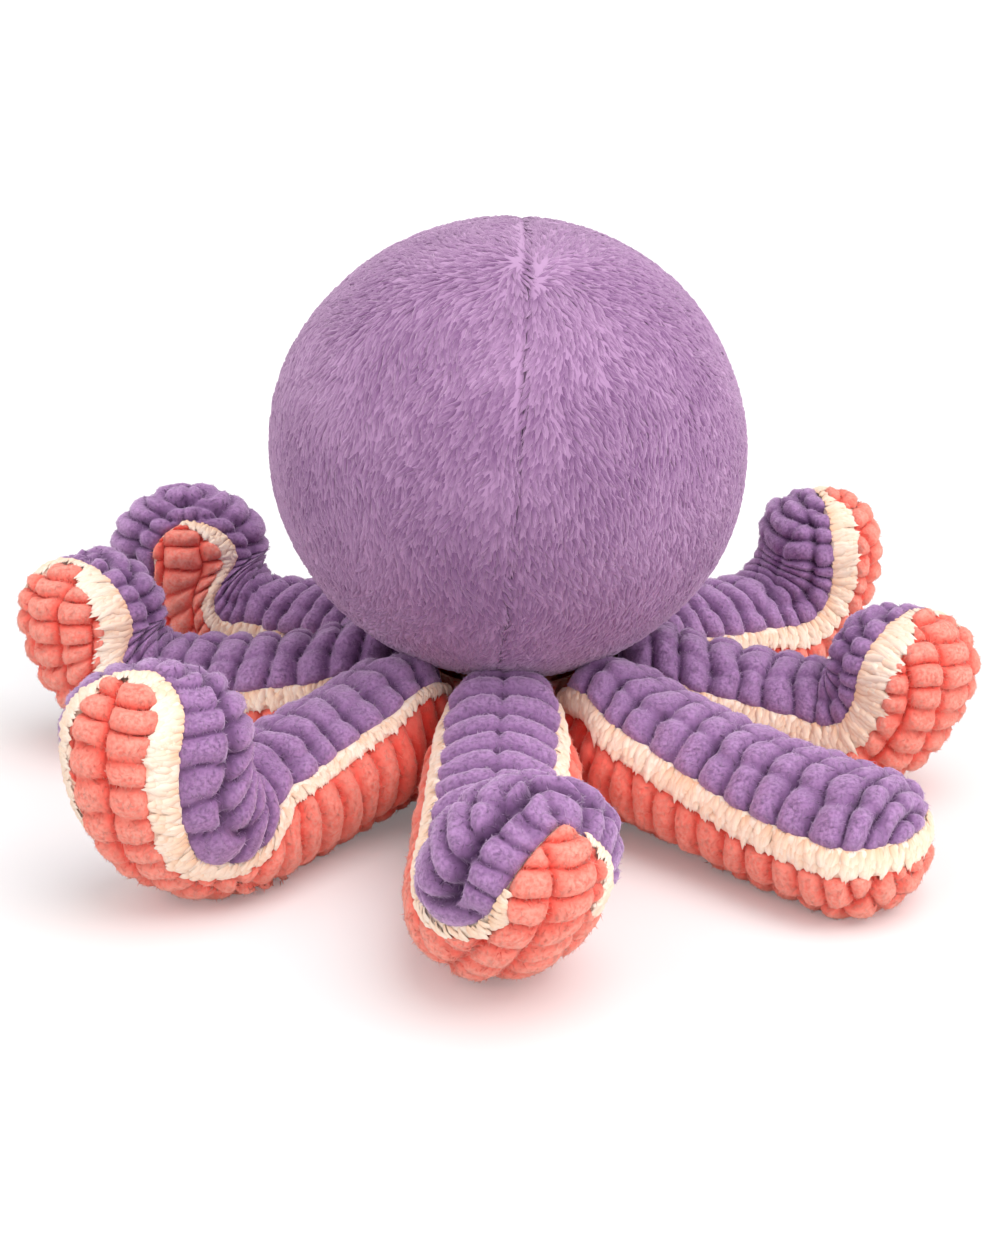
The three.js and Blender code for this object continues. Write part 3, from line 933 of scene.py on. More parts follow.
@dataclass
class Arm:
    """One arm: a purple ribbed top, a cream trim, a coral lobed sole and the filling.

    toe_span is where along the arm the body gives way to the toe, as shares of its length. At the root the cloth
    is wider by root_flank at most, in full from flank_level up, and stands out by root_rise, which sets in over
    rise_levels.

    On the top the ribs lie back by notch up to notch_width from the top line and by chevron beyond it, over a
    bend as soft as notch_round, and a crease runs there. Ribs and lobes waver by shares of their pitch, the ribs
    by the second number more on the toe, and waver_sizes are the sizes of the clouds in which ribs, side creases,
    rim and lobes waver. The side creases run side_crease_off from the top line, by
    toe_crease_shift nearer on the toe, stray by side_crease_waver, and are toe_crease deep on the toe, as a share
    of the ribs' height. The nearer the toe's bend is to full_curl, the more its cloth rolls in along the seam:
    there the ribs flatten by roll_flatness and lag by roll_lag of a pitch.

    On the sole, lobe_columns holds for each column of lobes the level along which they keep their pitch, and
    their shift. lanes are the distances from the bottom line at which the inner and the outer columns start.
    root_shade is the least share of the height mark at the root, up to where it holds, and over how far it ends:
    the sole is painted darker there, as shade between the arms' roots.
    """

    lie: Lie
    number: int
    sizes: ArmSizes = ArmSizes()
    ribs: Ribs = Ribs(11.0, 1.7, 3.0, 2.1)
    lobes: Ribs = Ribs(9.2, 2.5, 2.4, 2.4)
    nap: Nap = Nap()
    tufts: Tufts = Tufts()
    top_columns: int = 40
    band_columns: int = 16
    sole_columns: int = 44
    toe_span: Pair = (0.5, 0.8)
    toe_arc: float = 23.0
    toe_arc_pitch: float = 8.6
    squareness: float = 0.9
    root_squareness: float = 0.25
    flank_level: float = 30.0
    root_flank: float = 3.4
    root_gap: float = 0.4
    root_rise: float = 3.0
    root_rise_end: float = 24.0
    rise_levels: Pair = (30.0, 80.0)
    least_crowd: float = 0.25
    crowd_window: int = 12
    middle_height: float = 0.75
    rib_end: float = 0.14
    rib_waver: Pair = (0.2, 0.12)
    waver_sizes: tuple[float, float, float, float] = (11.0, 13.0, 14.0, 10.0)
    notch: float = 0.7
    chevron: float = 0.1
    notch_width: float = 2.4
    notch_round: float = 0.4
    crease: float = 1.0
    crease_width: float = 1.3
    crease_shade: float = 0.4
    side_crease_off: float = 15.5
    side_crease_width: float = 2.3
    side_crease_waver: float = 4.5
    toe_crease: float = 0.34
    toe_crease_shift: float = 3.0
    full_curl: float = 70.0
    fold_rise: float = 2.5
    fold_levels: float = 50.0
    rim_width: float = 1.9
    rim_waver: float = 1.3
    roll_flatness: float = 0.45
    roll_lag: float = 0.4
    lobe_columns: tuple[Pair, ...] = ((-22.0, 0.0), (-48.0, 0.5), (-74.0, 0.0))
    lobe_edge: float = 7.0
    lobe_waver: float = 0.22
    lanes: Pair = (12.0, 12.0)
    toe_lanes: Pair = (7.5, 20.5)
    toe_limit: float = 36.0
    lane_waver: float = 1.2
    root_shade: Triple = (0.2, 4.0, 30.0)
    top_lumps: float = 0.5
    sole_lumps: float = 0.6
    lump_size: float = 15.0
    fuzz: float = 0.3
    fuzz_size: float = 2.7
    band_lap: float = 4.0
    band_rise: float = 1.4
    band_ridge: float = 0.9
    band_sink: float = 1.6
    pinch_sink: float = 0.4
    band_fuzz: float = 0.4
    clump: float = 5.6
    filling_gap: float = 1.0
    filling_lumps: float = 0.5
    filling_cell: float = 4.0
    filling_back: float = 0.97
    bend_span: Pair = (-10.0, 12.0)

    def __post_init__(self) -> None:
        """Finds the arm's resting line and the rows of its surface."""
        self.body = f"arm_{self.lie.name}"
        self.length = self.sizes.length * self.lie.length_share
        self.azimuth = self.sizes.first_azimuth + 360.0 / self.sizes.count * self.number
        self.lumps = Lumps(Seed.ARM + self.number)
        self.line = self._resting_line()
        self.loop = self._loop(self.sizes.setback, self.sizes.cell)

    def _trace(self, pitch: float, toe_roll: float) -> Line:
        """The middle line when the arm leaves its joint at a pitch.

        A frame of along, left and up starts at the joint and turns by the same small rotation at every step of a
        run, so the frames of a run are the start times the powers of that rotation, which are rotations about
        one axis. The points are the sum of the steps along.

        Args:
            pitch: Degrees upwards at the joint.
            toe_roll: Degrees by which the toe is rolled.

        Returns:
            The line, which runs straight back from the joint as far as the root is high.
        """
        size = self.sizes
        start = spin((0, 0, 1), self.azimuth) @ spin((0, 1, 0), -pitch)
        frames, steps = [start[None]], [np.zeros(1)]
        for bend in self.lie.bends:
            step = spin((0, 0, 1), bend.left / size.steps) @ spin((0, 1, 0), -bend.up / size.steps)
            angle = math.acos((np.trace(step) - 1.0) / 2.0)
            axis = unit(np.array([step[2, 1] - step[1, 2], step[0, 2] - step[2, 0], step[1, 0] - step[0, 1]]))
            frames.append(frames[-1][-1] @ spins(axis, angle * np.arange(1, size.steps + 1)))
            steps.append(np.full(size.steps, self.length * bend.share / size.steps))
        turned, moved = np.concatenate(frames), np.concatenate(steps)
        along, left, up = (turned[:, :, k] for k in range(3))
        azimuth = math.radians(self.azimuth)
        joint = np.array([size.joint_radius * math.cos(azimuth), size.joint_radius * math.sin(azimuth),
                          size.joint_height])
        point = joint + np.cumsum(moved[:, None] * along, axis=0)
        place = np.cumsum(moved)
        start_share = size.roll_start_share
        roll = math.radians(toe_roll) * smooth((place / self.length - start_share) / (1.0 - start_share))
        c, s = np.cos(roll)[:, None], np.sin(roll)[:, None]
        right, upward = -left * c - up * s, up * c - left * s
        back = size.root_half_height

        def with_back(values: Array) -> Array:
            """The values with the first one twice."""
            return np.concatenate([values[:1], values])

        behind = np.concatenate([point[:1] - back * along[:1], point])
        return Line(np.concatenate([[-back], place]), behind, with_back(along), with_back(right),
                    with_back(upward))

    def _resting_line(self) -> Line:
        """The line at the pitch that presses the sole on the ground, found by halving the range.

        Returns:
            The line, with the toe rolled as its cloth shows it.
        """
        down, high = -self.sizes.pitch_limit, self.sizes.pitch_limit
        loop = self._loop(0.0, 6.0)
        levels = np.linspace(-90.0, -14.0, 4)
        for _ in range(self.sizes.pitch_trials):
            pitch = (down + high) / 2.0
            lowest = self._surface(self._trace(pitch, self.lie.roll), loop, levels, 0.0)[..., 2].min()
            down, high = (pitch, high) if lowest < -self.sizes.press else (down, pitch)
        return self._trace(high, self.lie.roll if self.lie.cloth_roll is None else self.lie.cloth_roll)

    def _loop(self, setback: float, cell: float) -> Loop:
        """The rows of the surface, about a cell apart.

        Args:
            setback: How far behind the joint the rows start.
            cell: The distance between rows.

        Returns:
            The loop, the same on both sides.
        """
        side = np.linspace(-setback, self.length, round((self.length + setback) / cell) + 1)
        steps = round(0.5 * math.pi * self.sizes.toe_half[0] / cell)
        end = np.linspace(-90.0, 0.0, steps + 1)[1:]
        place = np.concatenate([side, np.full(steps, self.length)])
        turn = np.concatenate([np.full(len(side), -90.0), end])
        return Loop(np.concatenate([place, place[-2::-1]]), np.concatenate([turn, -turn[-2::-1]]))

    def _half_sizes(self, place: Array) -> tuple[Array, Array]:
        """Half the arm's width and height at places along it.

        Behind the joint both shrink as a ball does. Beyond it they go by smooth steps from the root's to the
        body's, and from the body's to the toe's.

        Args:
            place: Distances along the middle line from the joint.

        Returns:
            The half widths and the half heights.
        """
        size = self.sizes
        share = place / self.length
        shrink = np.sqrt(np.maximum(0.0, 1.0 - (np.minimum(place, 0.0) / size.root_half_height) ** 2))
        swell, flare = smooth(share / size.swell_share), smooth((share - size.flare_share) / (1 - size.flare_share))
        roots = (size.root_half_width, size.root_half_height)
        wide, high = (root + (mid - root) * swell + (toe - mid) * flare
                      for root, mid, toe in zip(roots, size.body_half, size.toe_half))
        return wide * shrink, high * shrink

    def _flank(self, place: Array) -> Array:
        """How much wider the top's cloth is at the root, where it fills the wedge between its neighbours.

        Args:
            place: Distances along the middle line from the joint.

        Returns:
            The widths to add on each side.
        """
        size = self.sizes
        wide, _ = self._half_sizes(place)
        wedge = (size.joint_radius + place) * math.tan(math.pi / size.count) - self.root_gap
        return np.clip(wedge - wide, 0.0, self.root_flank) * self._root_share(place)

    def _root_share(self, place: Array) -> Array:
        """From 1 at the joint to 0 where the root's own shape ends."""
        return 1.0 - smooth(place / self.root_rise_end)

    def _point(self, line: Line, place: Array, turn: Array, level: Array, out: Array | float) -> Array:
        """Points on the arm.

        A section is an ellipse round the middle line, squarer over its upper half, and the toe is half an
        ellipsoid beyond the line's end. With T the turn, L the level and p the power that squares it, a point
        lies at width sin T cos L to the p to the right, reach cos T cos L to the p along and height sin L to
        the p up, and the seams' twist turns the first and the last about the line.

        Args:
            line: The arm's middle line.
            place: Distances along the line.
            turn: Degrees round the toe.
            level: Degrees round the arm, from -90 under the sole to 90 on the top line.
            out: How far outside the surface each point lies.

        Returns:
            A point for each place, turn and level, spread over each other.
        """
        here = line.at(place)
        wide, high = self._half_sizes(place)
        wide = wide + self._flank(place) * smooth(level / self.flank_level)
        twist = np.radians(self.lie.twist) * (1.0 - smooth(place / self.length / self.sizes.twist_end_share))
        around, rise = np.radians(turn), np.radians(level)
        power = self.squareness - self.root_squareness * self._root_share(place)
        power = np.where(level > 0.0, power, 1.0)
        flat = np.maximum(np.cos(rise), 0.0) ** power
        tall = np.sign(np.sin(rise)) * np.abs(np.sin(rise)) ** power + 0.0 * around
        across = np.sin(around) * flat
        across, tall = across * np.cos(twist) - tall * np.sin(twist), across * np.sin(twist) + tall * np.cos(twist)
        ahead = np.cos(around) * flat * (self.sizes.toe_reach + out)
        return (here.point + here.right * ((wide + out) * across)[..., None] + here.along * ahead[..., None]
                + here.up * ((high + out) * tall)[..., None])

    def _surface(self, line: Line, loop: Loop, levels: Array, out: Array | float) -> Array:
        """Points on the arm for each row of a loop and each level, which may differ from row to row."""
        return self._point(line, loop.place[:, None], loop.turn[:, None], np.atleast_2d(levels), out)

    def _seams(self) -> tuple[Array, Array]:
        """The seams, whose levels go by a smooth step from the body's to the toe's.

        Returns:
            The levels of the top's edge and of the sole's edge for each row.
        """
        toe = self._toe_share(self.lie.seam_span)
        upper, width = (pair[0] + (pair[1] - pair[0]) * toe for pair in (self.lie.seam, self.lie.band))
        around = np.sin(np.radians(self.loop.turn))
        upper = upper - np.where(around < 0.0, *self.lie.slip) * toe * np.abs(around)
        return upper, upper - width * self._pinched()

    def _pinched(self) -> Array:
        """The share of its width that the trim keeps, for each row: 1 less a bell round where it narrows."""
        middle, spread, share = self.lie.pinch
        return 1.0 - share * self._toe_share(self.lie.seam_span) * np.exp(-((self.loop.turn - middle) / spread) ** 4)

    def _toe_share(self, span: Pair) -> Array:
        """From 0 before a span of the arm's length to 1 beyond it, for each row."""
        start, end = span
        return smooth((self.loop.place / self.length - start) / (end - start))

    def _run(self, level: float) -> Array:
        """The distance over the surface from the root along one level.

        Args:
            level: The level.

        Returns:
            The distance at each row, the mean of both sides.
        """
        points = self._surface(self.line, self.loop, np.array([level]), 0.0)[:, 0]
        step = np.linalg.norm(np.diff(points, axis=0), axis=1)
        half = self.loop.half
        run = np.concatenate([[0.0], (np.cumsum(step[:half]) + np.cumsum(step[:half - 1:-1])) / 2.0])
        return np.concatenate([run, run[-2::-1]])

    def _body_run(self, level: float) -> Array:
        """The distance from the root along one level, which grows no more where the toe starts.

        Args:
            level: The level.

        Returns:
            The distance at each row, as a column.
        """
        run = self._run(level)
        start = np.flatnonzero(self.loop.turn > -90.0)[0] - 1
        return np.minimum(run, run[start])[:, None]

    def _axes(self, levels: Array) -> tuple[Array, Array]:
        """Where points lie on a unit section or toe: how far ahead and how far to the side.

        Args:
            levels: The points' levels, rows by columns.

        Returns:
            cos T cos L and the size of sin T cos L, T the turn and L the level.
        """
        turn, level = np.radians(self.loop.turn)[:, None], np.radians(levels)
        return np.cos(turn) * np.cos(level), np.abs(np.sin(turn)) * np.cos(level)

    def _from_bottom(self, levels: Array) -> Array:
        """The distance round the arm from its bottom line.

        It is the angle from that line, whose tangent is the share to the side over the share down, times the
        radius of the section, which shrinks to nothing at the toe's tip.

        Args:
            levels: The points' levels.

        Returns:
            The distances.
        """
        ahead, across = self._axes(levels)
        angle = np.arctan2(across, -np.sin(np.radians(levels)))
        return angle * self.sizes.body_half[0] * np.sqrt(np.maximum(0.0, 1.0 - ahead**2))

    def _count(self, level: float, levels: Array, pitch: float) -> Array:
        """The count of ribs, or of lobes, from the root at each point.

        It is the distance along one level up to the toe, plus an arc times the arc sine of how far ahead the
        point lies, over the pitch. On the top as many pleats fan round the toe as a pitch of toe_arc_pitch gives.

        Args:
            level: The level along which the ribs keep their pitch.
            levels: The points' levels.
            pitch: The ribs' pitch.

        Returns:
            The counts.
        """
        ahead, _ = self._axes(levels)
        reach = self.toe_arc * (self.ribs.pitch / self.toe_arc_pitch if level >= 0.0 else 1.0)
        return (self._body_run(level) + reach * np.arcsin(np.clip(ahead, 0.0, 1.0))) / pitch

    def _crowd(self, base: Array) -> Array:
        """How closely the ribs crowd: the distance between rows over that at the seams, from least_crowd to 1.

        On the toe it goes by the cosine of the turn from its value at the toe's start to 1 at the tip.

        Args:
            base: The points, rows by levels.

        Returns:
            The value at each point, softened along the arm.
        """
        pace = np.linalg.norm(np.gradient(base, axis=0), axis=-1)
        seam = self._surface(self.line, self.loop, np.zeros(1), 0.0)
        crowd = pace / np.maximum(np.linalg.norm(np.gradient(seam, axis=0), axis=-1), 1e-6)
        toe = np.abs(self.loop.turn) < 90.0
        crowd[toe] = crowd[np.flatnonzero(toe)[0] - 3]
        crowd = crowd + (1.0 - crowd) * np.cos(np.radians(self.loop.turn))[:, None]
        window = self.crowd_window
        for _ in range(2):
            total = np.cumsum(np.pad(crowd, ((window // 2, window // 2 - 1), (0, 0)), mode="edge"), axis=0)
            crowd = (total[window - 1:] - np.pad(total, ((1, 0), (0, 0)))[:-window]) / window
        return np.clip(crowd, self.least_crowd, 1.0)

    def _top_grid(self) -> tuple[Array, Array]:
        """The ribbed surface of the purple top and its height mark, which paints shade in the valleys and creases.

        The ribs run across the arm and the toe, with a notch at the top line. Where the toe curls in they crowd
        into a fan of pleats, and flatten as they crowd. On most arms a crease runs along each side too, and where
        the toe curls its cloth rolls in along its seam.

        Returns:
            The points and the marks, rows by levels.
        """
        edge = self._seams()[0][:, None]
        up = np.linspace(0.0, 1.0, self.top_columns)[None, :]
        levels = edge + (90.0 - edge) * up
        base = self._surface(self.line, self.loop, levels, 0.0)
        toe = self._toe_share(self.toe_span)[:, None]
        curl = toe * min(1.0, abs(self.lie.bends[2].up) / self.full_curl)
        step = np.linalg.norm(np.diff(base, axis=1), axis=-1)
        beside = np.pad(np.cumsum(step[:, ::-1], axis=1)[:, ::-1], ((0, 0), (0, 1)))
        beside = beside * np.abs(np.sin(np.radians(self.loop.turn)))[:, None]
        rim_off, rim_depth = self.lie.rim
        rib_size, crease_size, rim_size, _ = self.waver_sizes
        rim = (np.pad(np.cumsum(step, axis=1), ((0, 0), (1, 0))) - rim_off) / self.rim_width
        rim = rim - self.rim_waver * self.lumps.at(base, rim_size)
        roll = rim_depth * curl * smooth(-rim)
        crowd = self._crowd(base) * (1.0 - self.roll_flatness * roll)
        phase = self._count(0.0, levels, self.ribs.pitch) - self._hook(beside) / self.ribs.pitch
        phase = phase + (self.rib_waver[0] + self.rib_waver[1] * toe) * self.lumps.at(base, rib_size)
        phase = phase + self.roll_lag * roll
        ends = brink(up / self.rib_end)
        full = ripple(phase, self.ribs.roundness)
        rib = full * ends
        off = beside - self.side_crease_off + self.toe_crease_shift * toe
        off = off - self.side_crease_waver * self.lumps.at(base[::-1], crease_size)
        depth = self.lie.side_crease * (1.0 - toe) + self.toe_crease * toe
        lane = np.maximum(depth * bell(off / self.side_crease_width) * ends, rim_depth * curl * bell(rim))
        middle = bell(beside / self.crease_width)
        relief = self.middle_height + crowd * (rib - self.middle_height) - lane
        out = -self.ribs.valley + (self.ribs.crest + self.ribs.valley) * relief
        out = out + self.top_lumps * self.lumps.at(base, self.lump_size) - self.crease * middle
        out = out + self.fuzz * self.lumps.at(base[..., ::-1], self.fuzz_size)
        rise, (low, high) = self._root_share(self.loop.place)[:, None], self.rise_levels
        out = out + self.root_rise * rise * smooth((levels - low) / (high - low))
        out = out + self.fold_rise * curl * smooth((levels - edge) / self.fold_levels)
        # Painted shade in the rib valleys, side creases, rolled rim and top-line crease; painted highlight on the
        # ribs.
        height = np.clip((rib + full) / 2.0 - lane - self.crease_shade * middle, 0.0, 1.0)
        return self._surface(self.line, self.loop, levels, out), height

    def _hook(self, beside: Array) -> Array:
        """How far the ribs lie back: a soft notch at the top line and then a slight chevron.

        Args:
            beside: Distances from the top line.

        Returns:
            The distances back along the arm.
        """
        off = beside - self.notch_width
        bow = np.sqrt(off**2 + self.notch_round)
        return self.notch * (bow - off) / 2.0 + self.chevron * (bow + off) / 2.0

    def _sole_grid(self) -> tuple[Array, Array]:
        """The lobed surface of the coral sole and its height mark.

        The lobes stand in columns, set half a lobe apart: one tall column up each side and one along the bottom,
        and on the toe two more. Each is a pillow along the column times a pillow across it. What would lie under
        the ground is pressed flat on it, and near the root the mark is kept low, which paints shade between the arms.

        Returns:
            The points and the marks, rows by levels.
        """
        edge = self._seams()[1][:, None]
        levels = -90.0 + (edge + 90.0) * np.linspace(0.0, 1.0, self.sole_columns)[None, :]
        base = self._surface(self.line, self.loop, levels, 0.0)
        toe = self._toe_share(self.toe_span)[:, None]
        waver = self.lumps.at(base, self.waver_sizes[-1])
        off = self._from_bottom(levels)
        inner, outer = (body + (end - body) * toe + self.lane_waver * waver
                        for body, end in zip(self.lanes, self.toe_lanes))
        limit = np.maximum(self._from_bottom(edge), self.toe_limit * toe)
        counts = [self._count(level, levels, self.lobes.pitch) + shift + self.lobe_waver * waver
                  for level, shift in self.lobe_columns]
        side, bottom = off >= outer, off < inner
        phase, top, foot = (np.where(side, first, np.where(bottom, last, between)) for first, between, last in
                            (counts, (limit, outer, inner), (outer, inner, -inner)))
        across = np.clip((off - foot) / np.maximum(top - foot, 1e-6), 0.0, 1.0)
        full = ripple(phase, self.lobes.roundness) * pillow(across, 3.0)
        lobe = full * brink((edge - levels) / self.lobe_edge)
        out = -self.lobes.valley + (self.lobes.valley + self.lobes.crest) * lobe
        out = out + self.sole_lumps * self.lumps.at(base, self.lump_size)
        out = out + self.fuzz * self.lumps.at(base[..., ::-1], self.fuzz_size)
        points = self._surface(self.line, self.loop, levels, out)
        points[..., 2] = np.maximum(points[..., 2], 0.0)
        # Painted shade: the height mark is low in the lobes' valleys and near the root, and high on the lobes.
        least, held, fade = self.root_shade
        shown = least + (1.0 - least) * smooth((self.loop.place - held) / fade)[:, None]
        return points, (full + lobe) / 2.0 * shown

    def _inner(self, low: Array | float, high: Array | float) -> Array:
        """The inner side of a panel, three columns of points a cloth's thickness inside the surface."""
        low, high = (np.broadcast_to(level, self.loop.place.shape)[:, None] for level in (low, high))
        return self._surface(self.line, self.loop, low + (high - low) * np.linspace(0.0, 1.0, 3)[None, :],
                             -self.sizes.cloth)

    def _nap(self, points: Array, height: Array, seed: int) -> Cloth:
        """Short fibres scattered evenly over a panel's surface, which lie every way but mostly downwards.

        Args:
            points: The surface, rows by levels.
            height: Its height mark.
            seed: Where the random draw starts.

        Returns:
            The fibres, a little paler towards their tips as a painted highlight.
        """
        nap, rng = self.nap, np.random.default_rng(seed)
        corner, along, around = points[:-1, :-1], points[1:, :-1], points[:-1, 1:]
        across = np.cross(along - corner, around - corner)
        area = np.cumsum(np.linalg.norm(across, axis=-1).ravel())
        count = int(area[-1] * nap.density)
        cell = np.searchsorted(area, (np.arange(count) + rng.random(count)) * area[-1] / count)
        row, column = np.unravel_index(np.minimum(cell, area.size - 1), across.shape[:2])
        u, v = rng.random((2, count, 1))
        here = corner[row, column]
        roots = here + (along[row, column] - here) * u + (around[row, column] - here) * v
        out = unit(across[row, column])
        out = self._outward(out, roots, self.line.at(self.loop.place).point[row])
        comb = rng.normal(0.0, 1.0, (count, 3)) - np.array([0.0, 0.0, nap.hang])
        comb = unit(comb - dot(comb, out)[:, None] * out)
        size = rng.uniform(*nap.sizes, count)
        made = Locks(rings=1, flatness=0.5, round_share=1.2).grow(
            roots - nap.depth * out, out, comb, nap.length * size, nap.width / size**0.5,
            rng.uniform(*nap.rises, count), 0.0 * size, 0.0 * size)
        corners = len(made.points) // count
        # The fibres carry the painted shade of the height mark under their roots, and a painted highlight towards
        # their tips.
        made.marks = {"height": np.repeat(height[row, column], corners) + nap.paler * made.marks["tip"]}
        return made

    def _outward(self, out: Array, roots: Array, middle: Array) -> Array:
        """The unit vectors out, turned round where they point from the roots towards the middle points."""
        return out * np.sign(dot(out, roots - middle))[:, None]

    def top(self) -> Cloth:
        """The purple panel.

        Returns:
            Its ribbed cloth and its nap in one mesh.
        """
        points, height = self._top_grid()
        inner = self._inner(self._seams()[0], 90.0)
        cloth = panel(points, inner, True, False, {"height": height})
        return cloth.joined(self._nap(points, height, Seed.TOP_NAP + self.number))

    def sole(self) -> Cloth:
        """The coral panel.

        Returns:
            Its lobed cloth and its nap in one mesh.
        """
        points, height = self._sole_grid()
        inner = self._inner(-90.0, self._seams()[1])
        inner[..., 2] = np.maximum(inner[..., 2], self.sizes.cloth * 0.5)
        cloth = panel(points, inner, False, True, {"height": height})
        return cloth.joined(self._nap(points, height, Seed.SOLE_NAP + self.number))

    def trim(self) -> Cloth:
        """The cream band and the tufts on it.

        Returns:
            The band's backing and its tufts in one mesh.
        """
        upper, lower = self._seams()
        low, high = lower[:, None] - self.band_lap, upper[:, None] + self.band_lap
        share = np.linspace(0.0, 1.0, self.band_columns)[None, :]
        levels = low + (high - low) * share
        base = self._surface(self.line, self.loop, levels, 0.0)
        run = self._run(0.0)[:, None] / self.clump + 0.45 * self.lumps.at(base, 6.0)
        swell, ridge = pillow(share, 3.0), ripple(run, 2.0)
        kept = self._pinched()[:, None]
        out = (self.band_rise + self.band_ridge * ridge) * swell * kept - self.band_sink
        out = out - self.pinch_sink * (1.0 - kept) + self.band_fuzz * self.lumps.at(base, 5.0)
        points = self._surface(self.line, self.loop, levels, out)
        # The backing's tip mark paints shade at the band's edges and between its ridges, and highlight on the ridges.
        marks = {"tip": 0.35 + 0.45 * ridge * swell, "tint": 0.3 * self.lumps.at(base, 9.0),
                 "across": run + 0.0 * share, "drift": np.radians(high - levels) * self.sizes.body_half[0]}
        return panel(points, self._inner(low[:, 0], high[:, 0]), True, True, marks).joined(self._tufts())

    def _tufts(self) -> Cloth:
        """Tufts of long pile, combed down over the sole's edge and a little towards the toe.

        Returns:
            The tufts.
        """
        tufts, rng = self.tufts, np.random.default_rng(Seed.TUFTS + self.number)
        rows = len(self.loop.place) - 1
        number = np.arange(rows + 1)
        counts = round(self._run(0.0).max() * 2.0 / tufts.gap)
        row, column = np.meshgrid(np.linspace(0.0, rows, counts), np.linspace(0.0, 1.0, tufts.rows))
        row = (row + rng.uniform(-tufts.scatter, tufts.scatter, row.shape)).clip(0.02, rows - 0.02)
        upper, lower = (np.interp(row, number, level) for level in self._seams())
        reach = np.radians(upper - lower) * self.sizes.body_half[0] + tufts.lap
        wide = reach > tufts.lap + tufts.least_band
        row, column, upper, lower, reach = (values[wide] for values in (row, column, upper, lower, reach))
        level = upper + tufts.start + (lower - upper) * tufts.span * column
        level = level + rng.uniform(-tufts.scatter, tufts.scatter, row.shape)
        roots = self._spots(row, level)
        ahead = unit(self._spots(row + 0.01, level) - roots) * np.where(row < rows / 2, 1.0, -1.0)[:, None]
        down = unit(self._spots(row, level - 1.0) - roots)
        middle = self.line.at(np.interp(row, number, self.loop.place)).point
        out = self._outward(unit(np.cross(ahead, down)), roots, middle)
        stray, stray_size = tufts.clump_waver
        run = np.interp(row, number, self._run(0.0)) / self.clump + stray * self.lumps.at(roots, stray_size)
        off = run - np.floor(run) - 0.5
        cloud = tufts.cloud * self.lumps.at(roots, tufts.cloud_size)
        lean = np.radians(rng.normal(*tufts.lean, row.shape) + cloud - tufts.gather * off)
        far = self._spots(row, level - tufts.curve_span * (upper - lower)) - roots
        bow = (-dot(far, out) / np.maximum(dot(far, far), 1.0)).clip(0.0, tufts.bow)
        size = rng.uniform(*tufts.sizes, row.shape)
        length = reach * (tufts.full_length - tufts.length_fall * column) * size
        length = length * (tufts.clump_length - tufts.clump_fall * np.abs(off))
        width = tufts.width * size * np.clip(reach / tufts.full_reach, tufts.least_width, 1.0)
        rise, sway, tint = (rng.uniform(*limits, row.shape) for limits in (tufts.rises, tufts.sways, tufts.tints))
        locks = Locks(rings=3, flatness=0.5, round_share=1.2, sides=4, fullest=0.5, bluntness=4.0,
                      droop=tufts.curve_kept * bow[:, None])
        return locks.grow(
            roots - tufts.depth * out, out, swung(down, ahead, lean), length, width, rise, sway, tint)

    def _spots(self, row: Array, level: Array) -> Array:
        """Scattered points on the arm.

        Args:
            row: Rows of the loop, which may have fractions.
            level: A level for each.

        Returns:
            The points.
        """
        number = np.arange(len(self.loop.place))
        place, turn = np.interp(row, number, self.loop.place), np.interp(row, number, self.loop.turn)
        return self._point(self.line, place, turn, level, 0.0)

    def filling(self) -> Cloth:
        """The stuffing: the arm's shape inside its cloth, closed by the ball at its root, and lumpy.

        Returns:
            The closed mesh.
        """
        inset = self.sizes.cloth + self.filling_gap
        loop = self._loop(self.sizes.root_half_height * self.filling_back, self.filling_cell)
        levels = np.linspace(-90.0, 90.0, 19)
        base = self._surface(self.line, loop, levels, 0.0)
        lumps = self.filling_lumps * self.lumps.at(base, 9.0)
        grid = self._surface(self.line, loop, levels, -inset - self.filling_lumps + lumps)
        grid[..., 2] = np.maximum(grid[..., 2], inset)
        grid[[0, -1]] = grid[0].mean(0)
        return wrapped(grid)

    def build(self, shop: Workshop) -> None:
        """Makes the arm's pieces: the cloth stays where it is made, and only the stuffing rides on the arm's body.

        Args:
            shop: Where the pieces are finished.
        """
        cloths = {"top": (self.top(), Finish.ARM), "trim": (self.trim(), Finish.TRIM),
                  "sole": (self.sole(), Finish.SOLE)}
        for part, (cloth, finish) in cloths.items():
            name = f"{self.body}_{part}"
            cloth.points[:, 2] = np.maximum(cloth.points[:, 2], 0.0)
            made = shop.piece(f"{name}_plush", cloth, finish, (name,))
            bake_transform(made)
        name = f"{self.body}_stuffing"
        made = shop.piece(f"{name}_fibre", self.filling(), Finish.FILLING, (name,))
        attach(made, self.body)


@dataclass(frozen=True)
class Eye:
    """A safety eye with its washer, seated on the head's face side.

    spread and drop are the degrees to each side of the face's middle and under its equator, edge is the height of
    the dome's upright edge, bevel how far its flat foot stays inside it, and tuck how far locks reach under it.
    """

    radius: float = 8.0
    dome_height: float = 5.5
    edge: float = 0.8
    bevel: float = 0.4
    tuck: float = 0.5
    stem_radius: float = 2.2
    stem_length: float = 11.0
    spread: float = 27.0
    drop: float = 4.0
    seat: float = 0.3
    washer_radius: float = 7.5
    washer_depth: float = 5.0
    washer_thickness: float = 2.0


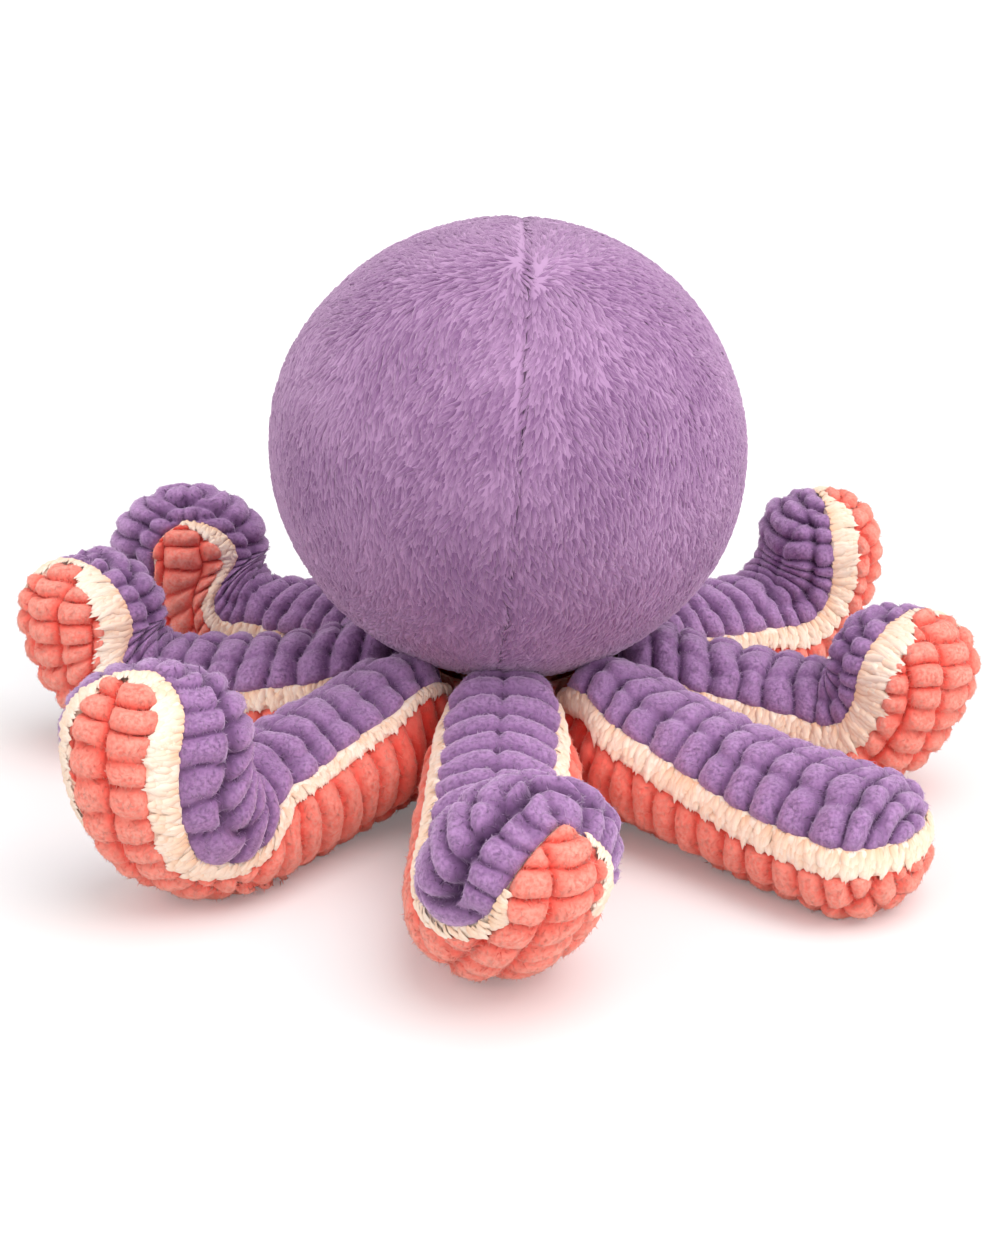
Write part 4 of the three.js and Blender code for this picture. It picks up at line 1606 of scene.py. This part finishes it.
@dataclass
class Head:
    """The head: four gores of combed fur over a ball of filling, two eyes and their washers.

    gore_grid is the number of points of a gore's cloth round the head and down it, and gore_span the degrees that
    it fills of its quarter. The locks swirl by degrees in clouds of two sizes, frizz is how far each strays from
    that at random, and whorl_turn how far they turn at the whorl. On a seam they are shorter, flatter and darker
    by the shares seam_short, seam_flat and seam_dark, and sunk by seam_sink. The darkening is painted shade in the
    seam's groove.
    """

    radius: float = 82.0
    half_height: float = 78.5
    centre_height: float = 118.5
    neck_radius: float = 22.0
    lean: float = 4.0
    seam_turn: float = 1.5
    gores: tuple[str, ...] = ("back_right", "front_right", "front_left", "back_left")
    skin_depth: float = 0.6
    cloth: float = 3.0
    whorl: Triple = (5.5, -39.8, 187.0)
    lock_count: int = 33000
    lock_length: float = 7.2
    lock_width: float = 2.0
    lock_rise: float = 0.6
    whorl_size: float = 5.0
    whorl_turn: float = 170.0
    lock_sizes: Pair = (0.75, 1.25)
    lock_rises: Pair = (0.5, 1.4)
    lock_sway: float = 1.2
    tint_spread: float = 0.65
    swirls: tuple[Pair, Pair] = ((30.0, 24.0), (22.0, 8.0))
    frizz: float = 11.0
    gore_grid: tuple[int, int] = (61, 91)
    gore_span: Pair = (0.1, 89.9)
    dip: float = 0.8
    dip_width: float = 1.4
    softness: float = 0.7
    softness_size: float = 30.0
    filling_gap: float = 1.4
    filling_lumps: float = 0.6
    root_depth: float = 0.35
    scatter: float = 0.35
    seam_width: float = 3.2
    seam_bare: float = 0.15
    seam_short: float = 0.25
    seam_flat: float = 0.6
    seam_dark: float = 0.5
    seam_sink: float = 0.4
    eye: Eye = Eye()

    def __post_init__(self) -> None:
        """Sets out the head's axes."""
        self.centre = np.array([0.0, 0.0, self.centre_height])
        self.tilt = spin((0, 1, 0), self.lean)
        self.lumps = Lumps(Seed.HEAD)
        self.neck = 180.0 - math.degrees(math.asin(self.neck_radius / self.radius))
        self.start = -90.0 + self.seam_turn

    def surface(self, longitude: Array, colatitude: Array, out: Array | float) -> Array:
        """Points on the head: an ellipsoid, leant over, with both its half sizes grown by out.

        Args:
            longitude: Degrees round the head's axis from +X.
            colatitude: Degrees from the crown.
            out: How far outside the frame's surface the points lie.

        Returns:
            The points.
        """
        lon, colat = np.radians(longitude), np.radians(colatitude)
        level, height = (self.radius + out) * np.sin(colat), (self.half_height + out) * np.cos(colat)
        flat = np.stack([level * np.cos(lon), level * np.sin(lon), height], -1)
        return flat @ self.tilt.T + self.centre

    def normal(self, points: Array) -> Array:
        """Directions out of the head: each coordinate over its half size squared.

        Args:
            points: Points on the head.

        Returns:
            A unit vector for each.
        """
        flat = (points - self.centre) @ self.tilt
        size = np.array([self.radius, self.radius, self.half_height])
        return unit(flat / size**2) @ self.tilt.T

    def _seam(self, longitude: Array, colatitude: Array) -> Array:
        """The distance to the nearest seam between gores."""
        off = np.abs((longitude - self.start + 45.0) % 90.0 - 45.0)
        return np.radians(off) * self.radius * np.sin(np.radians(colatitude))

    def _skin(self, number: int) -> Cloth:
        """One gore's backing, which sinks at its seams.

        Args:
            number: Which gore it is.

        Returns:
            The closed piece of cloth.
        """
        first = self.start + 90.0 * number
        low, high = self.gore_span
        around, down = self.gore_grid
        lon, colat = np.meshgrid(np.linspace(first + low, first + high, around), np.linspace(0.0, self.neck, down),
                                 indexing="ij")
        seam = bell(self._seam(lon, colat) / self.dip_width)
        outer = self.surface(lon, colat, -self.skin_depth - self.dip * seam + self._softness(lon, colat))
        step = down // 2
        inner = self.surface(lon[:, ::step], colat[:, ::step], -self.cloth - self.skin_depth)
        # The backing is painted near the tips' colour, painted light between the locks, and darker along the seams as
        # painted shade.
        marks = {"tip": 0.8 - 0.5 * seam, **dict.fromkeys(("tint", "across", "drift"), 0.0 * seam)}
        return panel(outer, inner, True, True, marks)

    def _fur(self, number: int) -> Cloth:
        """One gore's locks, combed away from the whorl, and drawn in along the seams.

        The roots are spread evenly by a golden spiral over the ball. The comb is the way straight from the whorl
        over the skin, turned by cloudy swirls and a little at random.

        Args:
            number: Which gore it is.

        Returns:
            The locks.
        """
        rng = np.random.default_rng(Seed.FUR + number)
        k = np.arange(self.lock_count) + 0.5
        colat = np.degrees(np.arccos(1.0 - 2.0 * k / self.lock_count))
        lon = np.degrees(np.pi * (1.0 + math.sqrt(5.0)) * k) % 360.0
        mine = (np.floor(((lon - self.start) % 360.0) / 90.0) == number) & (colat < self.neck - 1.0)
        lon, colat = (angle[mine] + rng.normal(0.0, self.scatter, mine.sum()) for angle in (lon, colat))
        seam = self._seam(lon, colat)
        roots = self.surface(lon, colat, -self.skin_depth - self.root_depth + self._softness(lon, colat))
        kept = (seam > self.seam_bare) & self._clear_of_eyes(roots)
        lon, colat, seam, roots = lon[kept], colat[kept], seam[kept], roots[kept]
        out = self.normal(roots)
        away = roots - np.array(self.whorl)
        apart = np.linalg.norm(away, axis=1)
        away = unit(away - dot(away, out)[:, None] * out + 1e-6)
        (wide, wide_size), (fine, fine_size) = self.swirls
        swirl = wide * self.lumps.at(roots, wide_size) + fine * self.lumps.at(roots[:, ::-1], fine_size)
        whorl = self.whorl_turn * bell(apart / self.whorl_size)
        angle = np.radians(swirl + rng.normal(0.0, self.frizz, len(roots)) + whorl)
        comb = swung(away, np.cross(out, away), angle)
        near = 1.0 - smooth(seam / self.seam_width)
        size = rng.uniform(*self.lock_sizes, len(roots)) * (1.0 - self.seam_short * near)
        rise = self.lock_rise * rng.uniform(*self.lock_rises, len(roots)) * (1.0 - self.seam_flat * near)
        # Painted shade: locks near a seam are darkened through their tint, as the seam's groove would be in shade.
        tint = np.clip(rng.normal(0.0, self.tint_spread, len(roots)) - self.seam_dark * near, -1.0, 1.0)
        return Locks(rings=3, flatness=0.42, round_share=1.3, droop=0.006).grow(
            roots - (self.seam_sink * near)[:, None] * out, out, comb, self.lock_length * size,
            self.lock_width * size, rise, rng.normal(0.0, self.lock_sway, len(roots)), tint)

    def _softness(self, longitude: Array, colatitude: Array) -> Array:
        """The gentle lumps of the filling under the skin, in millimetres."""
        return self.softness * self.lumps.at(self.surface(longitude, colatitude, 0.0), self.softness_size)

    def _seats(self) -> tuple[Array, Array]:
        """Where the eyes sit.

        Returns:
            Their points, right then left, and the unit vectors out of the head there.
        """
        lon = 90.0 + self.seam_turn + np.array([-self.eye.spread, self.eye.spread])
        points = self.surface(lon, np.full(2, 90.0 + self.eye.drop), 0.0)
        return points, unit(points - self.centre)

    def _clear_of_eyes(self, roots: Array) -> Array:
        """Whether locks stand outside both eyes.

        Args:
            roots: The locks' roots.

        Returns:
            True or false for each.
        """
        seats, _ = self._seats()
        apart = np.linalg.norm(roots[:, None] - seats[None], axis=-1)
        return (apart > self.eye.radius - self.eye.tuck).all(axis=1)

    def _turned(self, profile: Array, seat: Array, out: Array, sides: int) -> Cloth:
        """A round piece on an eye's axis, from a closed or axis-to-axis profile.

        Args:
            profile: Radius and height of each point.
            seat: The point on the head where the height is zero.
            out: The axis.
            sides: How many facets it has.

        Returns:
            The closed mesh.
        """
        right = unit(np.cross([0.0, 0.0, 1.0], out))
        up = np.cross(out, right)
        turn = np.linspace(0.0, 2.0 * np.pi, sides + 1)
        ring = right * np.cos(turn)[:, None] + up * np.sin(turn)[:, None]
        points = seat + ring[:, None] * profile[None, :, :1] + out * profile[None, :, 1:]
        return wrapped(points)

    def _eyes(self, shop: Workshop) -> None:
        """Makes both eyes and washers.

        Args:
            shop: Where the pieces are finished.
        """
        eye = self.eye
        arc = np.radians(np.linspace(0.0, 90.0, 16))
        dome = np.stack([eye.radius * np.cos(arc),
                         eye.seat + eye.edge + (eye.dome_height - eye.edge) * np.sin(arc)], -1)
        foot = np.array([[0.0, -eye.stem_length], [eye.stem_radius, -eye.stem_length],
                         [eye.stem_radius, eye.seat], [eye.radius - eye.bevel, eye.seat]])
        bore, top = eye.stem_radius + eye.seat, -eye.washer_depth
        under = top - eye.washer_thickness
        ring = np.array([[bore, under], [eye.washer_radius, under], [eye.washer_radius, top], [bore, top],
                         [bore, under]])
        for side, seat, out in zip(("right", "left"), *self._seats()):
            made = shop.piece(f"eye_{side}_dome", self._turned(np.concatenate([foot, dome]), seat, out, 48),
                              Finish.EYE, (f"eye_{side}",))
            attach(made, HULL_BODY)
            made = shop.piece(f"eye_{side}_washer", self._turned(ring, seat, out, 36), Finish.WASHER,
                              (f"eye_washer_{side}",))
            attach(made, HULL_BODY)

    def _filling(self) -> Cloth:
        """The ball of stuffing inside the gores.

        Returns:
            The closed mesh.
        """
        lon, colat = np.meshgrid(np.linspace(0.0, 360.0, 61), np.linspace(0.0, 180.0, 37), indexing="ij")
        lon[-1] = lon[0]
        lumps = self.filling_lumps * self.lumps.at(self.surface(lon, colat, 0.0), 14.0)
        return wrapped(self.surface(lon, colat, -self.cloth - self.skin_depth - self.filling_gap + lumps))

    def build(self, shop: Workshop) -> None:
        """Makes the head's pieces.

        Args:
            shop: Where the pieces are finished.
        """
        for number, name in enumerate(self.gores):
            cloth = self._skin(number).joined(self._fur(number))
            made = shop.piece(f"head_{name}_fur", cloth, Finish.MANTLE, (f"head_{name}",))
            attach(made, HULL_BODY)
        made = shop.piece("head_filling", self._filling(), Finish.FILLING, ("head_stuffing",))
        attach(made, HULL_BODY)
        self._eyes(shop)


@dataclass
class Belly:
    """The coral belly, a tub of cloth with a dimple for the root of each arm, and the bag of beans in it.

    The outline goes from the middle of the underside up the outside, over the brim and back down the inside.
    dimple holds the half sizes of a root's ball with its gap, out from the middle and up alike, and to the side.
    """

    arms: ArmSizes = ArmSizes()
    outline: tuple[Pair, ...] = (
        (0.0, 0.0), (20.0, 0.0), (34.0, 0.0), (43.0, 3.5), (47.5, 10.0), (49.6, 18.0), (49.6, 26.0), (47.0, 34.0),
        (43.0, 38.5), (38.0, 41.0), (33.0, 42.0), (28.0, 41.6), (27.0, 40.0), (31.0, 39.4), (37.0, 37.6),
        (42.0, 34.0), (46.0, 26.0), (44.6, 12.0), (40.0, 6.2), (33.0, 3.0), (18.0, 3.0), (0.0, 3.0))
    dimple: Pair = (25.0, 19.0)
    rib_count: int = 40
    rib_height: float = 1.6
    mean_rib: float = 0.8
    rib_foot: float = 1.0
    rib_rise: float = 6.0
    dimple_cloth: float = 1.2
    points_per_span: int = 5
    turns: int = 241
    bag_radius: float = 23.0
    bag_foot: float = 3.8
    bag_height: float = 35.0
    bean_size: float = 3.0
    bean_share: float = 0.012

    def _rounded(self) -> Array:
        """The outline as a smooth curve: a cubic between each two points with the neighbours' chord as slope.

        Returns:
            Radius and height of each point.
        """
        p = np.array(self.outline)
        slope = np.concatenate([p[1:2] - p[:1], (p[2:] - p[:-2]) / 2.0, p[-1:] - p[-2:-1]])
        t = (np.arange(self.points_per_span) / self.points_per_span)[None, :, None]
        a, b, ma, mb = p[:-1, None], p[1:, None], slope[:-1, None], slope[1:, None]
        curve = ((2 * t**3 - 3 * t**2 + 1) * a + (t**3 - 2 * t**2 + t) * ma + (3 * t**2 - 2 * t**3) * b
                 + (t**3 - t**2) * mb)
        curve = np.concatenate([curve.reshape(-1, 2), p[-1:]])
        return np.maximum(curve, 0.0)

    def _cloth(self) -> Cloth:
        """The tub: the outline turned round +Z, ribbed, and pushed in by the balls at the arms' roots.

        Along a level ray from the middle, a ball's near side is the smaller root of the quadratic that its
        ellipsoid gives, and the cloth's radius is kept below it.

        Returns:
            The closed mesh.
        """
        profile = self._rounded()
        turn = np.linspace(0.0, 2.0 * np.pi, self.turns)
        radius, height = (np.tile(values, (len(turn), 1)) for values in profile.T)
        outside = (np.arange(len(profile)) < len(profile) * 0.5)[None, :]
        rib = np.sqrt(np.abs(np.sin(turn * self.rib_count / 2.0)))[:, None]
        ribbed = self.rib_height * (rib - self.mean_rib) * smooth((height - self.rib_foot) / self.rib_rise)
        grown = radius + np.where(outside & (height > self.rib_foot), ribbed, 0.0)
        first, step = math.radians(self.arms.first_azimuth), 2.0 * math.pi / self.arms.count
        off = (turn - first + step / 2.0) % step - step / 2.0
        a, b = self.dimple
        c, s = np.cos(off)[:, None], np.sin(off)[:, None]
        level = (height - self.arms.joint_height) / a
        square, line = (c / a) ** 2 + (s / b) ** 2, c * self.arms.joint_radius / a**2
        rest = (self.arms.joint_radius / a) ** 2 + level**2 - 1.0
        inside = line**2 - square * rest
        near = (line - np.sqrt(np.maximum(inside, 0.0))) / square
        limit = np.where(inside > 0.0, near - np.where(outside, 0.0, self.dimple_cloth), np.inf)
        grown = np.minimum(grown, np.maximum(limit, 0.0))
        points = np.stack([grown * np.cos(turn)[:, None], grown * np.sin(turn)[:, None], height], -1)
        points[-1] = points[0]
        # The height mark paints shade: darker in the valleys between the outside ribs, and the deep colour all over
        # the inside.
        return wrapped(points, height=np.where(outside, rib, 0.0) + 0.0 * radius)

    def _bag(self) -> Cloth:
        """The bag of beans: a squat pillow, bumpy from the beans.

        Returns:
            The closed mesh.
        """
        turn, slope = np.meshgrid(np.linspace(0.0, 2.0 * np.pi, 73), np.linspace(0.0, np.pi, 41), indexing="ij")
        turn[-1] = turn[0]
        radius = self.bag_radius * np.sin(slope) ** 0.6
        height = self.bag_foot + self.bag_height * (1.0 - np.cos(slope)) / 2.0
        points = np.stack([radius * np.cos(turn), radius * np.sin(turn), height], -1)
        middle = np.array([0.0, 0.0, self.bag_foot + self.bag_height / 2.0])
        bumps = Lumps(Seed.BEANS).at(points, self.bean_size)[..., None]
        return wrapped(middle + (points - middle) * (1.0 + self.bean_share * bumps))

    def build(self, shop: Workshop) -> None:
        """Makes the belly and the bag.

        Args:
            shop: Where the pieces are finished.
        """
        made = shop.piece("belly_plush", self._cloth(), Finish.SOLE, ("belly",))
        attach(made, HULL_BODY)
        made = shop.piece("bean_bag_cloth", self._bag(), Finish.BAG, ("bean_bag",))
        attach(made, HULL_BODY)


@dataclass
class Studio:
    """A pale floor, soft lamps and the camera at the photograph's angle.

    clip is the camera's range in metres. Each of the lamps has a name, the direction to it, the angle in degrees
    that it fills and its strength.
    """

    target: Triple = (-3.0, 0.0, 53.7)
    distance: float = 723.0
    elevation: float = 20.0
    focal_pixels: float = 2036.0
    image_height: float = 1250.0
    sensor: float = 36.0
    floor_size: float = 60.0
    floor_colour: Triple = (0.76, 0.748, 0.745)
    floor_glow: float = 0.14
    world_strength: float = 0.58
    clip: Pair = (0.01, 50.0)
    lamps: tuple[tuple[str, Triple, float, float], ...] = (
        ("overhead", (0.3, -0.2, 1.0), 50.0, 1.6), ("right", (1.0, -0.6, 0.6), 60.0, 1.3),
        ("left", (-1.0, -0.4, 0.6), 70.0, 0.85))

    def _camera(self) -> None:
        """Places the camera, which looks along +Y and down at the octopus from behind it."""
        data = bpy.data.cameras.new("camera")
        data.sensor_width = self.sensor
        data.lens = self.focal_pixels / self.image_height * self.sensor
        data.clip_start, data.clip_end = self.clip
        tilt = math.radians(self.elevation)
        back = Vector((0.0, -math.cos(tilt), math.sin(tilt)))
        made = bpy.data.objects.new("camera", data)
        made.location = Vector(self.target) * MILLIMETRE + back * self.distance * MILLIMETRE
        made.rotation_euler = (-back).to_track_quat("-Z", "Y").to_euler()
        bpy.context.scene.collection.objects.link(made)
        bpy.context.scene.camera = made

    def _seen(self, graph: Graph) -> Socket:
        """1 for rays from the camera, and for those that metal and glass reflect or let through.

        Args:
            graph: The nodes to which it belongs.

        Returns:
            The value's socket.
        """
        path = graph.add("ShaderNodeLightPath").outputs
        either = graph.sum("MAXIMUM", path["Is Camera Ray"], path["Is Glossy Ray"])
        return graph.sum("MAXIMUM", either, path["Is Transmission Ray"])

    def _floor(self) -> None:
        """A wide pale floor that looks white from the camera and still keeps the shadow."""
        half = self.floor_size / 2.0
        mesh = bpy.data.meshes.new("floor")
        mesh.from_pydata([(-half, -half, 0), (half, -half, 0), (half, half, 0), (-half, half, 0)], [],
                         [(0, 1, 2, 3)])
        made = bpy.data.objects.new("floor", mesh)
        bpy.context.scene.collection.objects.link(made)
        material = bpy.data.materials.new("floor")
        material.use_nodes = True
        graph = Graph(material.node_tree)
        graph.tree.nodes.clear()
        matt, glow, both = (graph.add(f"ShaderNode{kind}") for kind in ("BsdfDiffuse", "Emission", "AddShader"))
        output = graph.add("ShaderNodeOutputMaterial")
        graph.put(matt.inputs["Color"], (*self.floor_colour, 1.0))
        graph.join(graph.sum("MULTIPLY", self._seen(graph), self.floor_glow), glow.inputs["Strength"])
        for source, target in ((matt, both.inputs[0]), (glow, both.inputs[1]), (both, output.inputs["Surface"])):
            graph.join(source.outputs[0], target)
        mesh.materials.append(material)

    def _world(self) -> None:
        """A pale surround: even soft light on the octopus, and plain white behind it."""
        world = bpy.data.worlds.new("surround")
        bpy.context.scene.world = world
        world.use_nodes = True
        graph = Graph(world.node_tree)
        back = graph.tree.nodes["Background"]
        graph.put(back.inputs["Color"], (1.0, 1.0, 1.0, 1.0))
        graph.join(graph.spread(self._seen(graph), 0.0, 1.0, self.world_strength, 1.0), back.inputs["Strength"])

    def _lamp(self, name: str, towards: Triple, spread: float, strength: float) -> None:
        """A broad far lamp, whose light is as strong everywhere.

        Args:
            name: The lamp's name.
            towards: The direction from the octopus to the lamp.
            spread: The angle that the lamp fills, in degrees. Wider is softer.
            strength: Its strength.
        """
        data = bpy.data.lights.new(name, "SUN")
        data.angle, data.energy = math.radians(spread), strength
        made = bpy.data.objects.new(name, data)
        made.rotation_euler = Vector(towards).to_track_quat("Z", "Y").to_euler()
        bpy.context.scene.collection.objects.link(made)

    def build(self) -> None:
        """Sets up the stage, the lamps and the camera."""
        self._camera()
        self._floor()
        self._world()
        for name, towards, spread, strength in self.lamps:
            self._lamp(name, towards, spread, strength)
        bpy.context.scene.view_settings.view_transform = "Standard"


LIES = (
    Lie("back", 0, 45, 1.14, (Bend(0.32, -6, -1), Bend(0.3, 0, 2), Bend(0.38, 72, 28)), seam=(42.0, -9.0),
        band=(12.0, 14.0), seam_span=(0.78, 1.0), slip=(45.0, 28.0), pinch=(24.0, 62.0, 0.95), cloth_roll=18.0,
        side_crease=0.0, rim=(13.0, 1.0)),
    Lie("back_right", 20, 0, 0.88, (Bend(0.42, -3, 3), Bend(0.3, 1, 3), Bend(0.28, 2, 3)), seam=(22.0, 20.0),
        band=(17.0, 18.0), pinch=(0.0, 20.0, 0.0), side_crease=0.3),
    Lie("right", 8, -20, 0.9, (Bend(0.32, -6, -11), Bend(0.28, 6, -9), Bend(0.4, 86, 0)), band=(14.0, 24.0)),
    Lie("front_right", 0, -20, 1.1, (Bend(0.32, -6, -6), Bend(0.28, 6, -7), Bend(0.4, 92, -6)), band=(14.0, 22.0)),
    Lie("front", 0, 0, 1.0, (Bend(0.32, -6, 0), Bend(0.3, 6, 0), Bend(0.38, 84, 0))),
    Lie("front_left", 0, 52, 1.1, (Bend(0.32, -6, 12), Bend(0.28, 6, 14), Bend(0.4, 92, 6)),
        seam=(21.0, -42.0), band=(14.0, 12.0), slip=(0.0, 22.0), pinch=(45.0, 70.0, 0.95), cloth_roll=106.0),
    Lie("left", -8, 30, 1.05, (Bend(0.32, -6, -6), Bend(0.28, 6, -4), Bend(0.4, 90, 0)), seam=(21.0, -5.0),
        band=(14.0, 25.0), cloth_roll=60.0),
    Lie("back_left", -20, -12, 1.14, (Bend(0.3, -6, 6), Bend(0.27, 4, 1), Bend(0.43, 104, -4)), seam=(27.0, -12.0),
        band=(8.0, 18.0), slip=(48.0, 6.0), pinch=(24.0, 14.0, 0.7), cloth_roll=34.0, rim=(15.0, 0.75)),
)


def main() -> None:
    """Builds the octopus and its stage."""
    logging.basicConfig(level=logging.INFO, format="%(name)s %(message)s")
    Studio().build()
    shop = Workshop()
    Belly().build(shop)
    Head().build(shop)
    for number, lie in enumerate(LIES):
        Arm(lie, number).build(shop)


if __name__ == "__main__":
    main()
